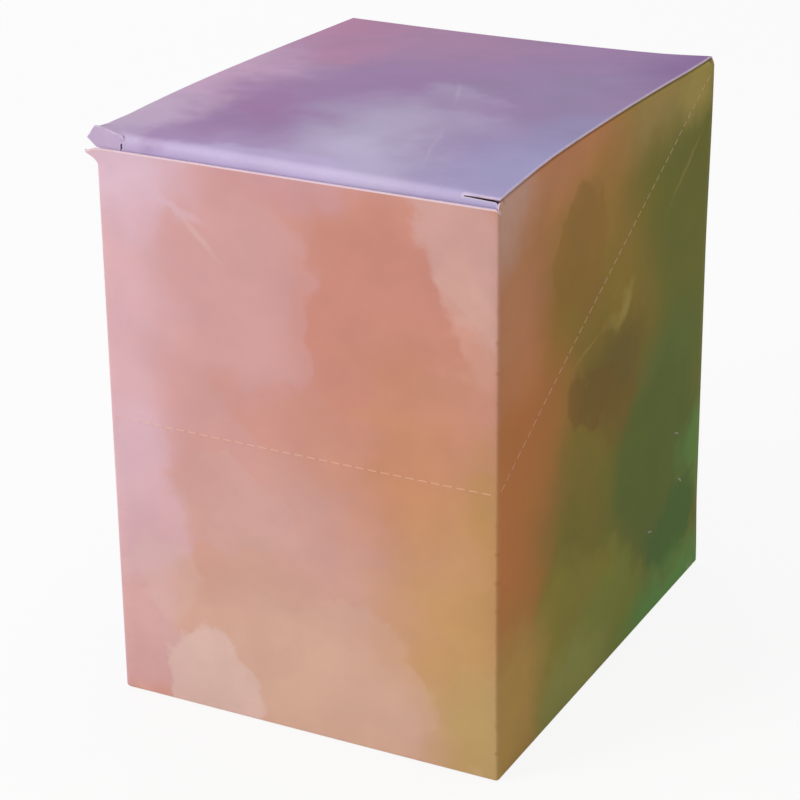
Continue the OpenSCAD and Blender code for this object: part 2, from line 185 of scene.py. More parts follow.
class CartonPalette(bpy.types.PropertyGroup):
    """Colours of the printed wash and of the board"""
    board: paint("Cut board", "e4ccdc", "The board's core, seen at its cut edges")
    # Tear line colour: paler print for wear, and for the painted highlights on the tear cuts and the front
    # panel's cut edge
    tear_wear_and_highlight: paint("Tear line", "f2cab0", "Paler print along the tear line and other creases of the walls")
    # Frost is a painted highlight: the lit band along the lid's front crease
    frost: paint("Frost", "c6b8de", "Pale violet of the lid's front crease")
    wheat: paint("Wheat", "bf9854", "Ochre at the foot of the right panel's front")
    # Rubbed colour: wear at the slits and back crease, painted highlight on the front crease, side rim and
    # ear
    rub_and_highlight: paint("Rubbed fold", "e8dcf6", "Paler print where the lid's front crease is rubbed")
    bare: paint("Inside", "cfc8bd", "The unprinted inside of the board")
    rose: paint("Rose", "d09e9c", "Rose of the front panel's upper left")
    mauve: paint("Mauve", "d9b7c5", "Pale mauve of the front panel's top left corner")
    blush: paint("Blush", "d7acb2", "Pale pink of the front panel's left side")
    dusty: paint("Dusty rose", "cd999c", "Grey pink by the front panel's top edge")
    salmon: paint("Salmon", "ca8b7c", "Salmon of the front panel's upper right")
    coral: paint("Coral", "ce9282", "Coral of the front panel's middle")
    petal: paint("Petal", "cfa39c", "Pale grey pink of the front panel's top right")
    peach: paint("Peach", "c98e6c", "Peach of the front panel's right side")
    sand: paint("Sand", "d1a694", "Sandy pink of the front panel's lower part")
    fawn: paint("Fawn", "d5ad98", "Pale sand at the front panel's foot")
    shell: paint("Shell", "dab9af", "Palest wash at the front panel's foot")
    apricot: paint("Apricot", "c89a68", "Apricot of the front panel's lower right")
    ochre: paint("Ochre", "bb8e5a", "Ochre by the front right fold")
    honey: paint("Honey", "c1a06b", "Light ochre at the foot of the front right fold")
    clay: paint("Clay", "d9aa98", "Grey pink of the right panel's top front corner")
    terracotta: paint("Terracotta", "d08f69", "Terracotta of the right panel's front edge")
    rust: paint("Rust", "c8804a", "Orange brown of the right panel's front part")
    amber: paint("Amber", "cd8f58", "Amber along the right panel's top")
    umber: paint("Umber", "a27a3e", "Brown of the right panel's upper middle")
    bark: paint("Bark", "836732", "Darkest brown of the right panel's middle")
    straw: paint("Straw", "b39758", "Straw yellow of the right panel's top back")
    citron: paint("Citron", "b8a359", "Yellow green of the right panel's top back corner")
    hazel: paint("Hazel", "9c813a", "Hazel of the right panel's middle")
    moss: paint("Moss", "7c6a34", "Brown green of the right panel's middle")
    olive: paint("Olive", "797936", "Olive of the right panel's back part")
    khaki: paint("Khaki", "8a7937", "Khaki of the right panel's lower middle")
    willow: paint("Willow", "968a3e", "Light olive of the right panel's lower part")
    sage: paint("Sage", "6c7a3a", "Grey green of the right panel's back part")
    fern: paint("Fern", "687436", "Green of the right panel's lower back")
    pine: paint("Pine", "587438", "Deep green of the right panel's back foot")
    leaf: paint("Leaf", "6c9c52", "Fresh green of the right panel's back foot")
    lichen: paint("Lichen", "9b9a55", "Pale olive at the right panel's foot")
    reed: paint("Reed", "878d40", "Yellow green of the right panel's foot")
    orchid: paint("Orchid", "b382a3", "Red violet of the lid's back left")
    heather: paint("Heather", "aa85a6", "Dusky violet of the lid's back")
    grape: paint("Grape", "886a9b", "Deep violet of the lid's back right corner")
    violet: paint("Violet", "9d7fa8", "Violet of the lid's middle")
    iris: paint("Iris", "9987ab", "Blue violet of the lid's right side")
    lilac: paint("Lilac", "c09bba", "Lilac of the lid's left side")
    pearl: paint("Pearl", "c3abc6", "Pale lilac of the lid's front left")
    plum: paint("Plum", "9e78a4", "Plum of the lid's left middle")
    haze: paint("Haze", "b2a5c4", "Hazy lavender of the lid's front")
    mist: paint("Mist", "bcb4ce", "Palest lavender of the lid's front")
    lavender: paint("Lavender", "a49ec6", "Lavender of the lid's front right")
    periwinkle: paint("Periwinkle", "9690b6", "Blue of the lid's right edge")
    teal: paint("Teal", "6f8784", "Grey green of the back panel")


class StudioSettings(bpy.types.PropertyGroup):
    """The camera, the lamps and the floor"""
    camera_at: FloatVectorProperty(
        name="Camera", description="Where the camera stands", subtype="XYZ", unit="LENGTH", size=3,
        default=(0.31249, -0.61775, 0.37433))
    lens: FloatProperty(name="Lens", description="Focal length in millimetres", default=125.6)
    key: FloatProperty(name="Key lamp", description="Power of the large lamp", default=13.4, unit="POWER")
    top: FloatProperty(name="Top lamp", description="Power of the lamp overhead", default=3.4, unit="POWER")
    back: FloatProperty(name="Back lamp", description="Power of the lamp behind", default=6, unit="POWER")
    sky: FloatProperty(name="Sky", description="Strength of the light from all round", default=0.42)


def turn(degrees):
    """The unit vector at this angle."""
    return np.array([math.cos(math.radians(degrees)), math.sin(math.radians(degrees))])


def angle_to(start, end):
    """The angle in degrees from one point to another."""
    return math.degrees(math.atan2(end[1] - start[1], end[0] - start[0]))


def leg_of(slope, other):
    """The other leg of a right triangle."""
    return math.sqrt(slope * slope - other * other)


def circles_meet(c1, r1, c2, r2):
    """Where two circles meet, on the side of their centres' line that lies lower in Y."""
    span = np.linalg.norm(c2 - c1)
    along = (r1 * r1 - r2 * r2 + span * span) / (2 * span)
    off = leg_of(r1, along)
    u = (c2 - c1) / span
    return c1 + along * u + off * np.array([-u[1], u[0]])


def ease(value, low, high):
    """0 below low, 1 above high and a smooth step between them."""
    t = min(max((value - low) / (high - low), 0.0), 1.0)
    return t * t * (3 - 2 * t)


def rounded(path):
    """An open path of (x, y, radius) corners as points, with its inner corners rounded."""
    points = [np.array(path[0][:2], float)]
    for before, corner, after in zip(path, path[1:], path[2:]):
        at, r = np.array(corner[:2], float), corner[2]
        if r == 0:
            points.append(at)
            continue
        u = np.array(before[:2]) - at
        v = np.array(after[:2]) - at
        u, v = u / np.linalg.norm(u), v / np.linalg.norm(v)
        half = math.acos(max(-1, min(1, float(u @ v)))) / 2
        mid = at + (u + v) / np.linalg.norm(u + v) * r / math.sin(half)
        a0 = angle_to(mid, at + u * r / math.tan(half))
        a1 = angle_to(mid, at + v * r / math.tan(half))
        sweep = (a1 - a0 + 540) % 360 - 180
        points += [mid + r * turn(a0 + sweep * k / FOLD_STEPS) for k in range(FOLD_STEPS + 1)]
    points.append(np.array(path[-1][:2], float))
    return points


class FoldedSheet:
    """The folded sheet in millimetres, with its lengths worked out as the solids' are."""

    def __init__(self, sizes):
        for name in CartonSizes.__annotations__:
            setattr(self, name, getattr(sizes, name) / MM)
        self.slit_share = sizes.slit_share
        self.half_w, self.half_d = self.carton_w / 2, self.carton_d / 2
        self.work_out_lid()
        self.work_out_base()
        self.work_out_ring()

    def work_out_lid(self):
        """The lid's profile in the YZ plane, as four arcs of (middle, radius, from, to)."""
        self.hinge = np.array([self.half_d, self.panel_h - self.back_drop])
        self.tuck_r = self.carton_d - self.board_t - self.tuck_gap
        crease_top = np.array([self.hinge[0] - self.tuck_r, self.panel_h + self.lid_lift])
        chord = crease_top - self.hinge
        chord_l = np.linalg.norm(chord)
        self.arch_r = (chord_l ** 2 / 4 + self.lid_bow ** 2) / (2 * self.lid_bow)
        chord_up = np.array([chord[1], -chord[0]]) / chord_l
        self.arch_mid = (self.hinge + crease_top) / 2 - chord_up * (self.arch_r - self.lid_bow)
        self.front_mid = circles_meet(
            self.arch_mid, self.arch_r - self.front_crease_r,
            self.hinge, self.tuck_r - self.front_crease_r)
        back_y = self.half_d - self.back_crease_r
        rise = leg_of(self.arch_r - self.back_crease_r, back_y - self.arch_mid[0])
        self.back_mid = np.array([back_y, self.arch_mid[1] + rise])
        arch_front_a = angle_to(self.arch_mid, self.front_mid)
        arch_back_a = angle_to(self.arch_mid, self.back_mid)
        tuck_top_a = angle_to(self.hinge, self.front_mid)
        tuck_drop = self.hinge[1] - self.panel_h + self.tuck_l
        tuck_end_a = 180 + math.degrees(math.asin(tuck_drop / self.tuck_r))
        self.slit_a = arch_front_a + self.slit_share * (tuck_top_a - arch_front_a)
        self.arcs = [
            (self.back_mid, self.back_crease_r, 0, arch_back_a),
            (self.arch_mid, self.arch_r, arch_back_a, arch_front_a),
            (self.front_mid, self.front_crease_r, arch_front_a, tuck_top_a),
            (self.hinge, self.tuck_r, tuck_top_a, tuck_end_a)]
        lengths = [r * math.radians(a1 - a0) for _, r, a0, a1 in self.arcs]
        self.arc_v = np.concatenate([[0], np.cumsum(lengths)])
        self.lid_half_w = self.half_w - self.lid_side_gap
        self.tuck_half_w = self.half_w - self.board_t - self.tuck_side_gap
        self.dust_r = self.arch_r - self.board_t - self.dust_gap
        self.wall_r = self.dust_r - self.dust_fold_r
        self.dust_front_y = self.front_mid[0]

    def work_out_base(self):
        """Each base flap's outer face, as points of (distance in from its wall, height)."""
        layer = self.board_t + self.layer_gap
        start = (self.base_fold_r, 0.0)
        reach = self.half_d
        side = [start, (self.base_fold_r + 3, layer), (self.half_w, layer)]
        self.base_paths = {
            "front": [start, (reach + 6, 0.0), (reach + 18, 3 * layer), (reach + 40, 3 * layer)],
            "back": [start, (self.base_fold_r + 6, 2 * layer), (self.carton_d, 2 * layer)],
            "left": side,
            "right": side}

    def work_out_ring(self):
        """The four panels seen from above, as stretches of (name, length, start, heading or middle)."""
        r, w, d, t = self.fold_r, self.half_w, self.half_d, self.board_t
        corner = QUARTER * r
        stretches = [
            ("tab", self.glue_tab_w, (-w + r + self.glue_tab_w, d - t), (-1, 0)),
            ("turn", corner, (-w + r, d - t - r), 90),
            ("left", 2 * d - t - 2 * r, (-w, d - t - r), (0, -1)),
            ("front_left", corner, (-w + r, -d + r), 180),
            ("front", 2 * (w - r), (-w + r, -d), (1, 0)),
            ("front_right", corner, (w - r, -d + r), 270),
            ("right", 2 * (d - r), (w, -d + r), (0, 1)),
            ("back_right", corner, (w - r, d - r), 0),
            ("back", 2 * w - r, (w - r, d), (-1, 0))]
        self.ring, s = [], 0.0
        for name, span, at, way in stretches:
            self.ring.append((name, s, s + span, np.array(at, float), way))
            s += span
        self.ring_at = {name: (s0, s1) for name, s0, s1, _, _ in self.ring}
        self.ring_end = s

    def ring_point(self, s, depth):
        """(stretch's name, point, inward direction) at s along the panels and depth into the board."""
        for name, s0, s1, at, way in self.ring:
            if s <= s1 + 1e-9 or name == "back":
                break
        if isinstance(way, tuple):
            inward = np.array([-way[1], way[0]], float)
            return name, at + (s - s0) * np.array(way, float) + depth * inward, inward
        out = turn(way + math.degrees((s - s0) / self.fold_r))
        return name, at + (self.fold_r - depth) * out, -out

    def along(self, panel, place):
        """The s at which a panel passes a place along its own axis, X or Y."""
        s0 = self.ring_at[panel][0]
        if panel == "front":
            return s0 + place + self.half_w - self.fold_r
        if panel == "right":
            return s0 + place + self.half_d - self.fold_r
        if panel == "back":
            return s0 + self.half_w - self.fold_r - place
        return s0 + self.half_d - self.board_t - self.fold_r - place

    def wall_top(self, y):
        """Height of the side panels' top folds, which follow the lid's arch."""
        return self.arch_mid[1] + leg_of(self.wall_r, y - self.arch_mid[0])

    def base_depth(self, panel, w):
        """Length along a base flap's outer face from its wall's foot to w in from the wall."""
        run = QUARTER * self.base_fold_r
        path = self.base_paths[panel]
        for (w0, z0), (w1, z1) in zip(path, path[1:]):
            if w <= w1:
                return run + math.hypot(w1 - w0, z1 - z0) * (w - w0) / (w1 - w0)
            run += math.hypot(w1 - w0, z1 - z0)
        return run

    def base_point(self, panel, p, depth):
        """(distance in from the wall, height) at p along a base flap and depth into the board."""
        r = self.base_fold_r
        bend = QUARTER * r
        if p < bend:
            a = p / r
            return r - (r - depth) * math.cos(a), r - (r - depth) * math.sin(a)
        run = bend
        path = self.base_paths[panel]
        for (w0, z0), (w1, z1) in zip(path, path[1:]):
            span = math.hypot(w1 - w0, z1 - z0)
            if p <= run + span or (w1, z1) == path[-1]:
                share = (p - run) / span
                return w0 + share * (w1 - w0), z0 + share * (z1 - z0) + depth
            run += span

    def wall_place(self, s, t, depth):
        """The folded place of a point of the carton's flat sheet."""
        name, at, inward = self.ring_point(s, depth)
        if t < self.base_fold_r:
            edge = self.ring_point(s, 0)[1]
            w, z = self.base_point(name, self.base_fold_r - t, depth)
            return np.array([*(edge + w * inward), z])
        if name == "back_right":
            top = self.wall_top(self.half_d - self.fold_r)
            rise = min(max(t - top, 0) / self.dust_fold_r, QUARTER)
            bend = self.dust_fold_r - depth
            rolled = min(self.dust_fold_r - bend * math.cos(rise), 0.7)
            edge = self.ring_point(s, 0)[1] + rolled * inward
            return np.array([*edge, min(t, top) + bend * math.sin(rise)])
        if name in ("left", "right"):
            y = at[1]
            q = t - self.wall_top(y)
            if q > 0:
                side = 1 if name == "right" else -1
                rise = min(q / self.dust_fold_r, QUARTER)
                bend = self.dust_fold_r - depth
                r = self.wall_r + bend * math.sin(rise)
                x = self.half_w - self.dust_fold_r + bend * math.cos(rise)
                x -= max(q - QUARTER * self.dust_fold_r, 0)
                a = math.acos((y - self.arch_mid[0]) / self.wall_r)
                return np.array([
                    side * x, self.arch_mid[0] + r * math.cos(a), self.arch_mid[1] + r * math.sin(a)])
        return np.array([at[0], at[1], t])

    def profile(self, v, depth):
        """(y, z) at v along the lid from its back crease and depth into the board."""
        if v < 0:
            return np.array([self.half_d - depth, self.back_mid[1] + v])
        for (mid, r, a0, a1), v0, v1 in zip(self.arcs, self.arc_v, self.arc_v[1:]):
            if v <= v1:
                break
        return mid + (r - depth) * turn(a0 + math.degrees((v - v0) / r))

    def lid_place(self, x, v, depth):
        """The folded place of a point of the lid's flat sheet."""
        y, z = self.profile(v, depth)
        return np.array([x, y, z])

    def ear_place(self, x, z, depth):
        """The bent place of a point of the ear, which curls forward towards its tip."""
        r = self.tuck_r - depth
        y = self.hinge[0] - leg_of(r, z - self.hinge[1])
        past = max(-x - self.half_w + self.left_slit_l - 1, 0) / self.left_slit_l
        return np.array([x, y - 0.4 * past ** 2, z])

    def lid_lift_at(self, x, y):
        """How far the lid stands off its plain arch: twisted, and lifted at two corners."""
        share = min(max((x + self.half_w) / self.carton_w, 0), 1) ** (1 + 1.3 * ease(y, -20, 68))
        right = 0.7 - 1.7 * (1 - ease(y, -78, -32))
        left = 0.1 + 0.4 * ease(y, -66.5, -61) - 1.95 * ease(y, -66, 56)
        front = math.exp(-((x + self.half_w) / 4.5) ** 2 - ((y + self.half_d - 4) / 5) ** 2)
        back = math.exp(-((x - self.half_w) / 9) ** 2 - ((y - self.half_d) / 10) ** 2)
        return share * right + (1 - share) * left + 0.5 * front + 0.5 * back

    def soften_lid(self, at):
        """A folded place on the lid, with its twist and its lifted corners added."""
        x, y, z = at
        return np.array([x, y, z + self.lid_lift_at(x, max(y, -self.half_d + 2))])

    def soften_wall(self, at, s):
        """A folded place on a wall, with the small bends and bulges of a used carton added."""
        x, y, z = at
        name = self.ring_point(s, 0)[0]
        tilt = EDGE_TILT * x / self.half_w
        if name == "front":
            lift = tilt
        elif name in ("front_left", "front_right"):
            s0, s1 = self.ring_at[name]
            share = (s - s0) / (s1 - s0)
            share = share if name == "front_right" else 1 - share
            lift = tilt + share * (self.lid_lift_at(x, y) - tilt)
        else:
            lift = self.lid_lift_at(x, y)
        near_top = ease(z, self.panel_h - 22, self.panel_h - 4)
        bends = self.flare(z, s) + self.push(x, y, z) + self.bulge(x, y, z, name)
        return np.array([x, y, z + near_top * lift]) + bends

    def flare(self, z, s):
        """The left panel's top front corner, bent out over the last few millimetres."""
        middle = sum(self.ring_at["front_left"]) / 2
        reach = FLARE_ON_FRONT if s > middle else FLARE_ON_SIDE
        fade = 1 - ease(abs(s - middle), 0.1, reach)
        rise = min(max((z - self.panel_h + FLARE_H) / FLARE_RUN, 0), 1)
        droop = fade ** 3 if s > middle else 1
        bend = [-FLARE_OUT * rise ** 2.2, -FLARE_FORWARD * rise, -FLARE_DOWN * rise * droop]
        return np.array(bend) * fade

    def push(self, x, y, z):
        """The corners and the foot, which stand a little proud where the board pushes outwards."""
        right, left, behind = x - self.half_w, x + self.half_w, y - self.half_d
        back_corner = ease(z, 95, 146) * math.exp(-(right / 6) ** 2 - (behind / 6) ** 2)
        left_corner = math.exp(-(left / 3) ** 2 - ((y + self.half_d) / 3) ** 2)
        foot = 1 - ease(z, 0, 25)
        side = foot * ease(x, self.half_w - 2, self.half_w - 0.1)
        front = foot * ease(-y, self.half_d - 2, self.half_d - 0.1) * left / self.carton_w
        return (back_corner * BACK_CORNER_OUT + left_corner * LEFT_CORNER_OUT
                + side * SIDE_FOOT_OUT + front * FRONT_FOOT_OUT)

    def bulge(self, x, y, z, name):
        """The panels' slight bow between their folds."""
        up = math.sin(math.pi * min(max(z / self.panel_h, 0), 1))
        if name == "front":
            return np.array([0, -FRONT_BOW * up * math.cos(math.pi * x / self.carton_w), 0])
        if name in ("left", "right"):
            side = 1 if name == "right" else -1
            turned = math.pi * y / self.carton_d
            wave = math.cos(turned) + 0.3 * math.sin(2 * turned)
            return np.array([side * SIDE_BOW * up * wave, 0, 0])
        return np.zeros(3)


def inside(points, loop):
    """Which points lie inside a closed loop."""
    loop = np.asarray(loop)
    found = np.zeros(len(points), bool)
    px, py = points[:, 0], points[:, 1]
    for (x0, y0), (x1, y1) in zip(loop, np.roll(loop, -1, 0)):
        if y0 != y1:
            crosses = (y0 > py) != (y1 > py)
            found ^= crosses & (px < (x1 - x0) * (py - y0) / (y1 - y0) + x0)
    return found


def off_edges(points, starts, ends):
    """Each point's distance from the nearest of some segments."""
    nearest = np.full(len(points), 1e9)
    for a, b in zip(starts, ends):
        d = b - a
        share = np.clip(((points - a) @ d) / max(d @ d, 1e-12), 0, 1)
        nearest = np.minimum(nearest, np.linalg.norm(points - a - share[:, None] * d, axis=1))
    return nearest


def split_long(loop, step):
    """A closed loop with its edges split so that none is longer than step."""
    out = []
    for a, b in zip(loop, loop[1:] + loop[:1]):
        count = max(1, math.ceil(np.linalg.norm(b - a) / step))
        out += [a + (b - a) * k / count for k in range(count)]
    return out


class FlatSheet:
    """A flat outline with seed points and cuts, meshed and then folded into a closed shell."""

    def __init__(self, outline, seeds, cuts=()):
        loops = [np.array(outline)] + [np.array(c) for c in cuts]
        starts = np.vstack(loops)
        ends = np.vstack([np.roll(c, -1, 0) for c in loops])
        seeds = np.unique(np.round(np.array(seeds), 4), axis=0)
        seeds = seeds[inside(seeds, loops[0])]
        for cut in loops[1:]:
            seeds = seeds[~inside(seeds, cut)]
        seeds = seeds[off_edges(seeds, starts, ends) > EDGE_CLEAR]
        edges, at = [], 0
        for c in loops:
            edges += [(at + k, at + (k + 1) % len(c)) for k in range(len(c))]
            at += len(c)
        points = [Vector(p) for p in np.vstack([starts, seeds])]
        found = delaunay_2d_cdt(points, edges, [], 0, 1e-5)
        self.flat = np.array([tuple(p) for p in found[0]])
        faces = np.array([f for f in found[2]])
        middles = self.flat[faces].mean(1)
        kept = inside(middles, loops[0])
        self.faces, middles = faces[kept], middles[kept]
        self.cut = np.zeros(len(self.faces), bool)
        for cut in loops[1:]:
            self.cut |= inside(middles, cut)

    def folded(self, place, board_t, groove=0.0):
        """(vertices, faces, finish of each face, flat place of each vertex, edge vertices)."""
        count = len(self.flat)
        verts = [place(a, b, 0.0) for a, b in self.flat]
        verts += [place(a, b, board_t) for a, b in self.flat]
        flat = [tuple(p) for p in self.flat] * 2
        faces, kinds = [], []
        floor = {}
        for k in sorted({int(i) for f in self.faces[self.cut] for i in f}):
            floor[k] = len(verts)
            verts.append(place(*self.flat[k], groove))
            flat.append(tuple(self.flat[k]))
        owners = {}
        for n, f in enumerate(self.faces):
            a, b, c = (int(i) for i in f)
            faces.append((a + count, c + count, b + count))
            kinds.append(BARE)
            if self.cut[n]:
                faces.append((floor[a], floor[b], floor[c]))
                kinds.append(PRINTED)
            else:
                faces.append((a, b, c))
                kinds.append(PRINTED)
            for edge in ((a, b), (b, c), (c, a)):
                owners.setdefault(tuple(sorted(edge)), []).append((edge, self.cut[n]))
        for found in owners.values():
            (a, b), is_cut = found[0]
            if len(found) == 1:
                faces.append((b, a, a + count, b + count))
                kinds.append(CUT)
            elif found[0][1] != found[1][1]:
                a, b = found[0][0] if is_cut else found[1][0]
                faces.append((b, a, floor[a], floor[b])[::-1])
                kinds.append(PRINTED)
        rim = {int(k) for edge, found in owners.items() if len(found) == 1 for k in edge}
        return verts, faces, kinds, flat, rim


def add_piece(name, parts, materials):
    """Makes one mesh object of folded parts, with each vertex's place on the flat sheet kept."""
    verts, faces, kinds, print_at, worn_and_lit = [], [], [], [], []
    for part_verts, part_faces, part_kinds, part_print, part_worn_and_lit in parts:
        start = len(verts)
        verts += part_verts
        faces += [tuple(i + start for i in f) for f in part_faces]
        kinds += part_kinds
        print_at += [(a, b, 0.0) for a, b in part_print]
        worn_and_lit += part_worn_and_lit
    mesh = bpy.data.meshes.new(name)
    mesh.from_pydata([tuple(np.array(v) * MM) for v in verts], [], faces)
    for material in materials:
        mesh.materials.append(material)
    mesh.polygons.foreach_set("material_index", kinds)
    sheet_place = mesh.attributes.new("sheet_place", "FLOAT_VECTOR", "POINT")
    sheet_place.data.foreach_set("vector", np.array(print_at, np.float32).ravel() * MM)
    wear = mesh.attributes.new("wear", "FLOAT", "POINT")
    wear.data.foreach_set("value", np.array(worn_and_lit, np.float32))
    build = bmesh.new()
    build.from_mesh(mesh)
    bmesh.ops.recalc_face_normals(build, faces=build.faces)
    build.faces.ensure_lookup_table()
    for edge in build.edges:
        edge.smooth = len(edge.link_faces) == 2 and edge.calc_face_angle(0) < SHARP_TURN
    for face in build.faces:
        face.smooth = True
    build.to_mesh(mesh)
    build.free()
    piece = bpy.data.objects.new(name, mesh)
    bpy.context.scene.collection.objects.link(piece)
    return piece


def flap_path(sheet, panel, corners):
    """A base flap's outline in the flat, from (place along the panel, distance in, radius)."""
    foot = sheet.base_fold_r
    path = [(sheet.along(panel, a), foot - (sheet.base_depth(panel, w) if w > 0 else 0), r)
            for a, w, r in corners]
    return rounded(path)


def base_outlines(sheet):
    """The four base flaps' outlines, in the order in which the flat sheet passes them."""
    w, d = sheet.half_w, sheet.half_d
    front_x = w - sheet.base_fold_r - 4
    front = [
        (-front_x, 0, 0), (-front_x + 4, d - 8, 3), (-29, d + 6, 3), (-25, d + 6, 1),
        (-22, d + 32, 5), (22, d + 32, 5), (25, d + 6, 1), (29, d + 6, 3),
        (front_x - 4, d - 8, 3), (front_x, 0, 0)]
    back_x = w - sheet.board_t - 1
    back = [
        (back_x, 0, 0), (back_x - 4, d + 12, 5), (32, d + 12, 3), (28, d - 18.1, 2),
        (-28, d - 18.1, 2), (-32, d + 12, 3), (-back_x + 4, d + 12, 5), (-back_x, 0, 0)]
    near, far = -d + sheet.fold_r + sheet.base_fold_r, d - sheet.base_fold_r - 7
    side = [
        (near, 0, 0), (near + 1, 3, 0), (-d + 21, 42, 4), (-8, 42, 4),
        (0, w - 29, 2), (42, w - 29, 4), (far, 3, 0), (far, 0, 0)]
    return [
        flap_path(sheet, "left", side[::-1]), flap_path(sheet, "front", front),
        flap_path(sheet, "right", side), flap_path(sheet, "back", back)]


def dust_path(sheet, panel):
    """A dust flap's outline in the flat, from its back end to its front end."""
    bend = QUARTER * sheet.dust_fold_r
    back_y, front_y = sheet.half_d - 2, sheet.dust_front_y
    corners = [
        (back_y, 0, 0), (back_y, bend, 0), (back_y - 9, bend + sheet.dust_l, 4),
        (front_y + 17, bend + sheet.dust_l, 4), (front_y + 3, bend + 11, 1),
        (front_y + 0.5, bend + 10, 1), (front_y, 0, 0)]
    points = rounded(corners)
    path = []
    for a, b in zip(points, points[1:]):
        count = max(1, math.ceil(np.linalg.norm(b - a) / PANEL_STEP))
        path += [a + (b - a) * k / count for k in range(count)]
    path.append(points[-1])
    return [np.array([sheet.along(panel, y), sheet.wall_top(y) + q]) for y, q in path]


def carton_outline(sheet, top_z):
    """The carton's flat outline, with its panels side by side and its flaps laid out."""
    at = sheet.ring_at
    foot, high = sheet.base_fold_r, sheet.panel_h
    flaps = base_outlines(sheet)
    low = foot - 0.7 * QUARTER * foot

    def foot_round(before, name, after):
        """The outline from one flap's end to the next one's start, round an upright fold's foot."""
        s0, s1 = at[name]
        lift = 0.35 if name == "front_right" else 1
        places = [
            (before + 0.05, low), (s0 - 0.9, low + 0.05), (s0, low + 0.45 * lift),
            ((s0 + s1) / 2, low + lift),
            (s1, low + 0.45 * lift), (s1 + 0.9, low + 0.05), (after - 0.05, low)]
        kept = [p for p in places[1:-1] if before + 0.15 < p[0] < after - 0.15]
        return places[:1] + kept + places[-1:]

    tab_slant = sheet.glue_tab_w / 2
    loop = [(0, foot + tab_slant), (at["tab"][1], foot)]
    loop += foot_round(at["turn"][0], "turn", flaps[0][0][0]) + flaps[0]
    for name, flap, following in zip(FOLDS[1:], flaps, flaps[1:]):
        loop += foot_round(flap[-1][0], name, following[0][0]) + following
    loop += [(flaps[3][-1][0] + 0.05, low), (sheet.ring_end, low + 0.2), (sheet.ring_end, top_z)]
    edge_y = sheet.half_d - sheet.fold_r
    side_top = sheet.wall_top(edge_y) + 2
    loop += [
        (at["back"][0] + 0.1, top_z), (at["back"][0] - 0.1, side_top),
        (at["right"][1], side_top), (sheet.along("right", sheet.half_d - 1.7), side_top)]
    loop += dust_path(sheet, "right")
    front_top = sheet.wall_top(-sheet.half_d + sheet.fold_r)
    stub = sheet.along("right", sheet.dust_front_y - 0.25)
    right = at["right"][0]
    loop += [
        (stub, front_top), (stub, front_top + 1.3), (right + 0.1, front_top + 1.2),
        (right - 0.5, front_top + 0.7), (right - 0.9, high),
        (at["front"][1], high), (at["front"][0], high)]
    notch = sheet.along("left", sheet.dust_front_y - 0.3)
    middle = sum(at["front_left"]) / 2
    behind_ear = high - 1.5
    loop += [
        (middle, high), (middle - 0.25, behind_ear), (notch, behind_ear),
        (notch, sheet.wall_top(sheet.dust_front_y))]
    loop += dust_path(sheet, "left")[::-1]
    loop += [(at["left"][0], sheet.wall_top(edge_y)), (at["tab"][1], top_z)]
    cut_in = (sheet.hinge[1] - top_z) / tab_slant * sheet.glue_tab_w
    loop += [(at["tab"][1] - cut_in, top_z), (0, sheet.hinge[1] - tab_slant)]
    outline = [np.array(loop[0], float)]
    for corner in loop[1:]:
        point = np.array(corner, float)
        if np.linalg.norm(point - outline[-1]) > NEAR:
            outline.append(point)
    return outline


def fold_columns(sheet):
    """The places along the ring where the mesh has columns, fine at the folds."""
    columns = []
    for name, s0, s1, _, way in sheet.ring:
        if isinstance(way, tuple):
            count = max(2, math.ceil((s1 - s0) / PANEL_STEP))
            columns += list(np.linspace(s0, s1, count + 1)) + [s0 + 0.8, s0 + 2.5, s1 - 0.8, s1 - 2.5]
        else:
            columns += list(np.linspace(s0, s1, FOLD_STEPS + 1))
    return sorted(set(round(c, 4) for c in columns))


def carton_rows(sheet, s):
    """The heights in the flat where the mesh has points, at one place along the ring."""
    name, at, _ = sheet.ring_point(s, 0)
    foot, high = sheet.base_fold_r, sheet.panel_h
    low, count = (4, FOLD_ROWS) if name in FOLDS else (8, PANEL_ROWS)
    rows = [foot, foot + 0.7, foot + 2.5]
    rows += list(np.linspace(low, high - 9, count)) + [high - down for down in EDGE_ROWS]
    rows += [foot - QUARTER * foot * k / FOLD_STEPS for k in range(FOLD_STEPS + 1)]
    if name in sheet.base_paths:
        knots = [w for w, _ in sheet.base_paths[name]]
        knots += [knots[0] + 1, knots[0] + 2.5] + list(np.arange(10, knots[-1], PANEL_STEP))
        rows += [foot - sheet.base_depth(name, w) for w in sorted(set(knots))]
    if name in ("left", "right"):
        top = sheet.wall_top(at[1])
        bend = QUARTER * sheet.dust_fold_r
        rows = [r for r in rows if r < top - 0.4] + [top - 2.5, top - 0.9]
        rows += [top + bend * k / FOLD_STEPS for k in range(FOLD_STEPS + 1)]
        rows += [top + bend + q for q in (1, 3, *np.arange(PANEL_STEP, sheet.dust_l, PANEL_STEP))]
    return rows


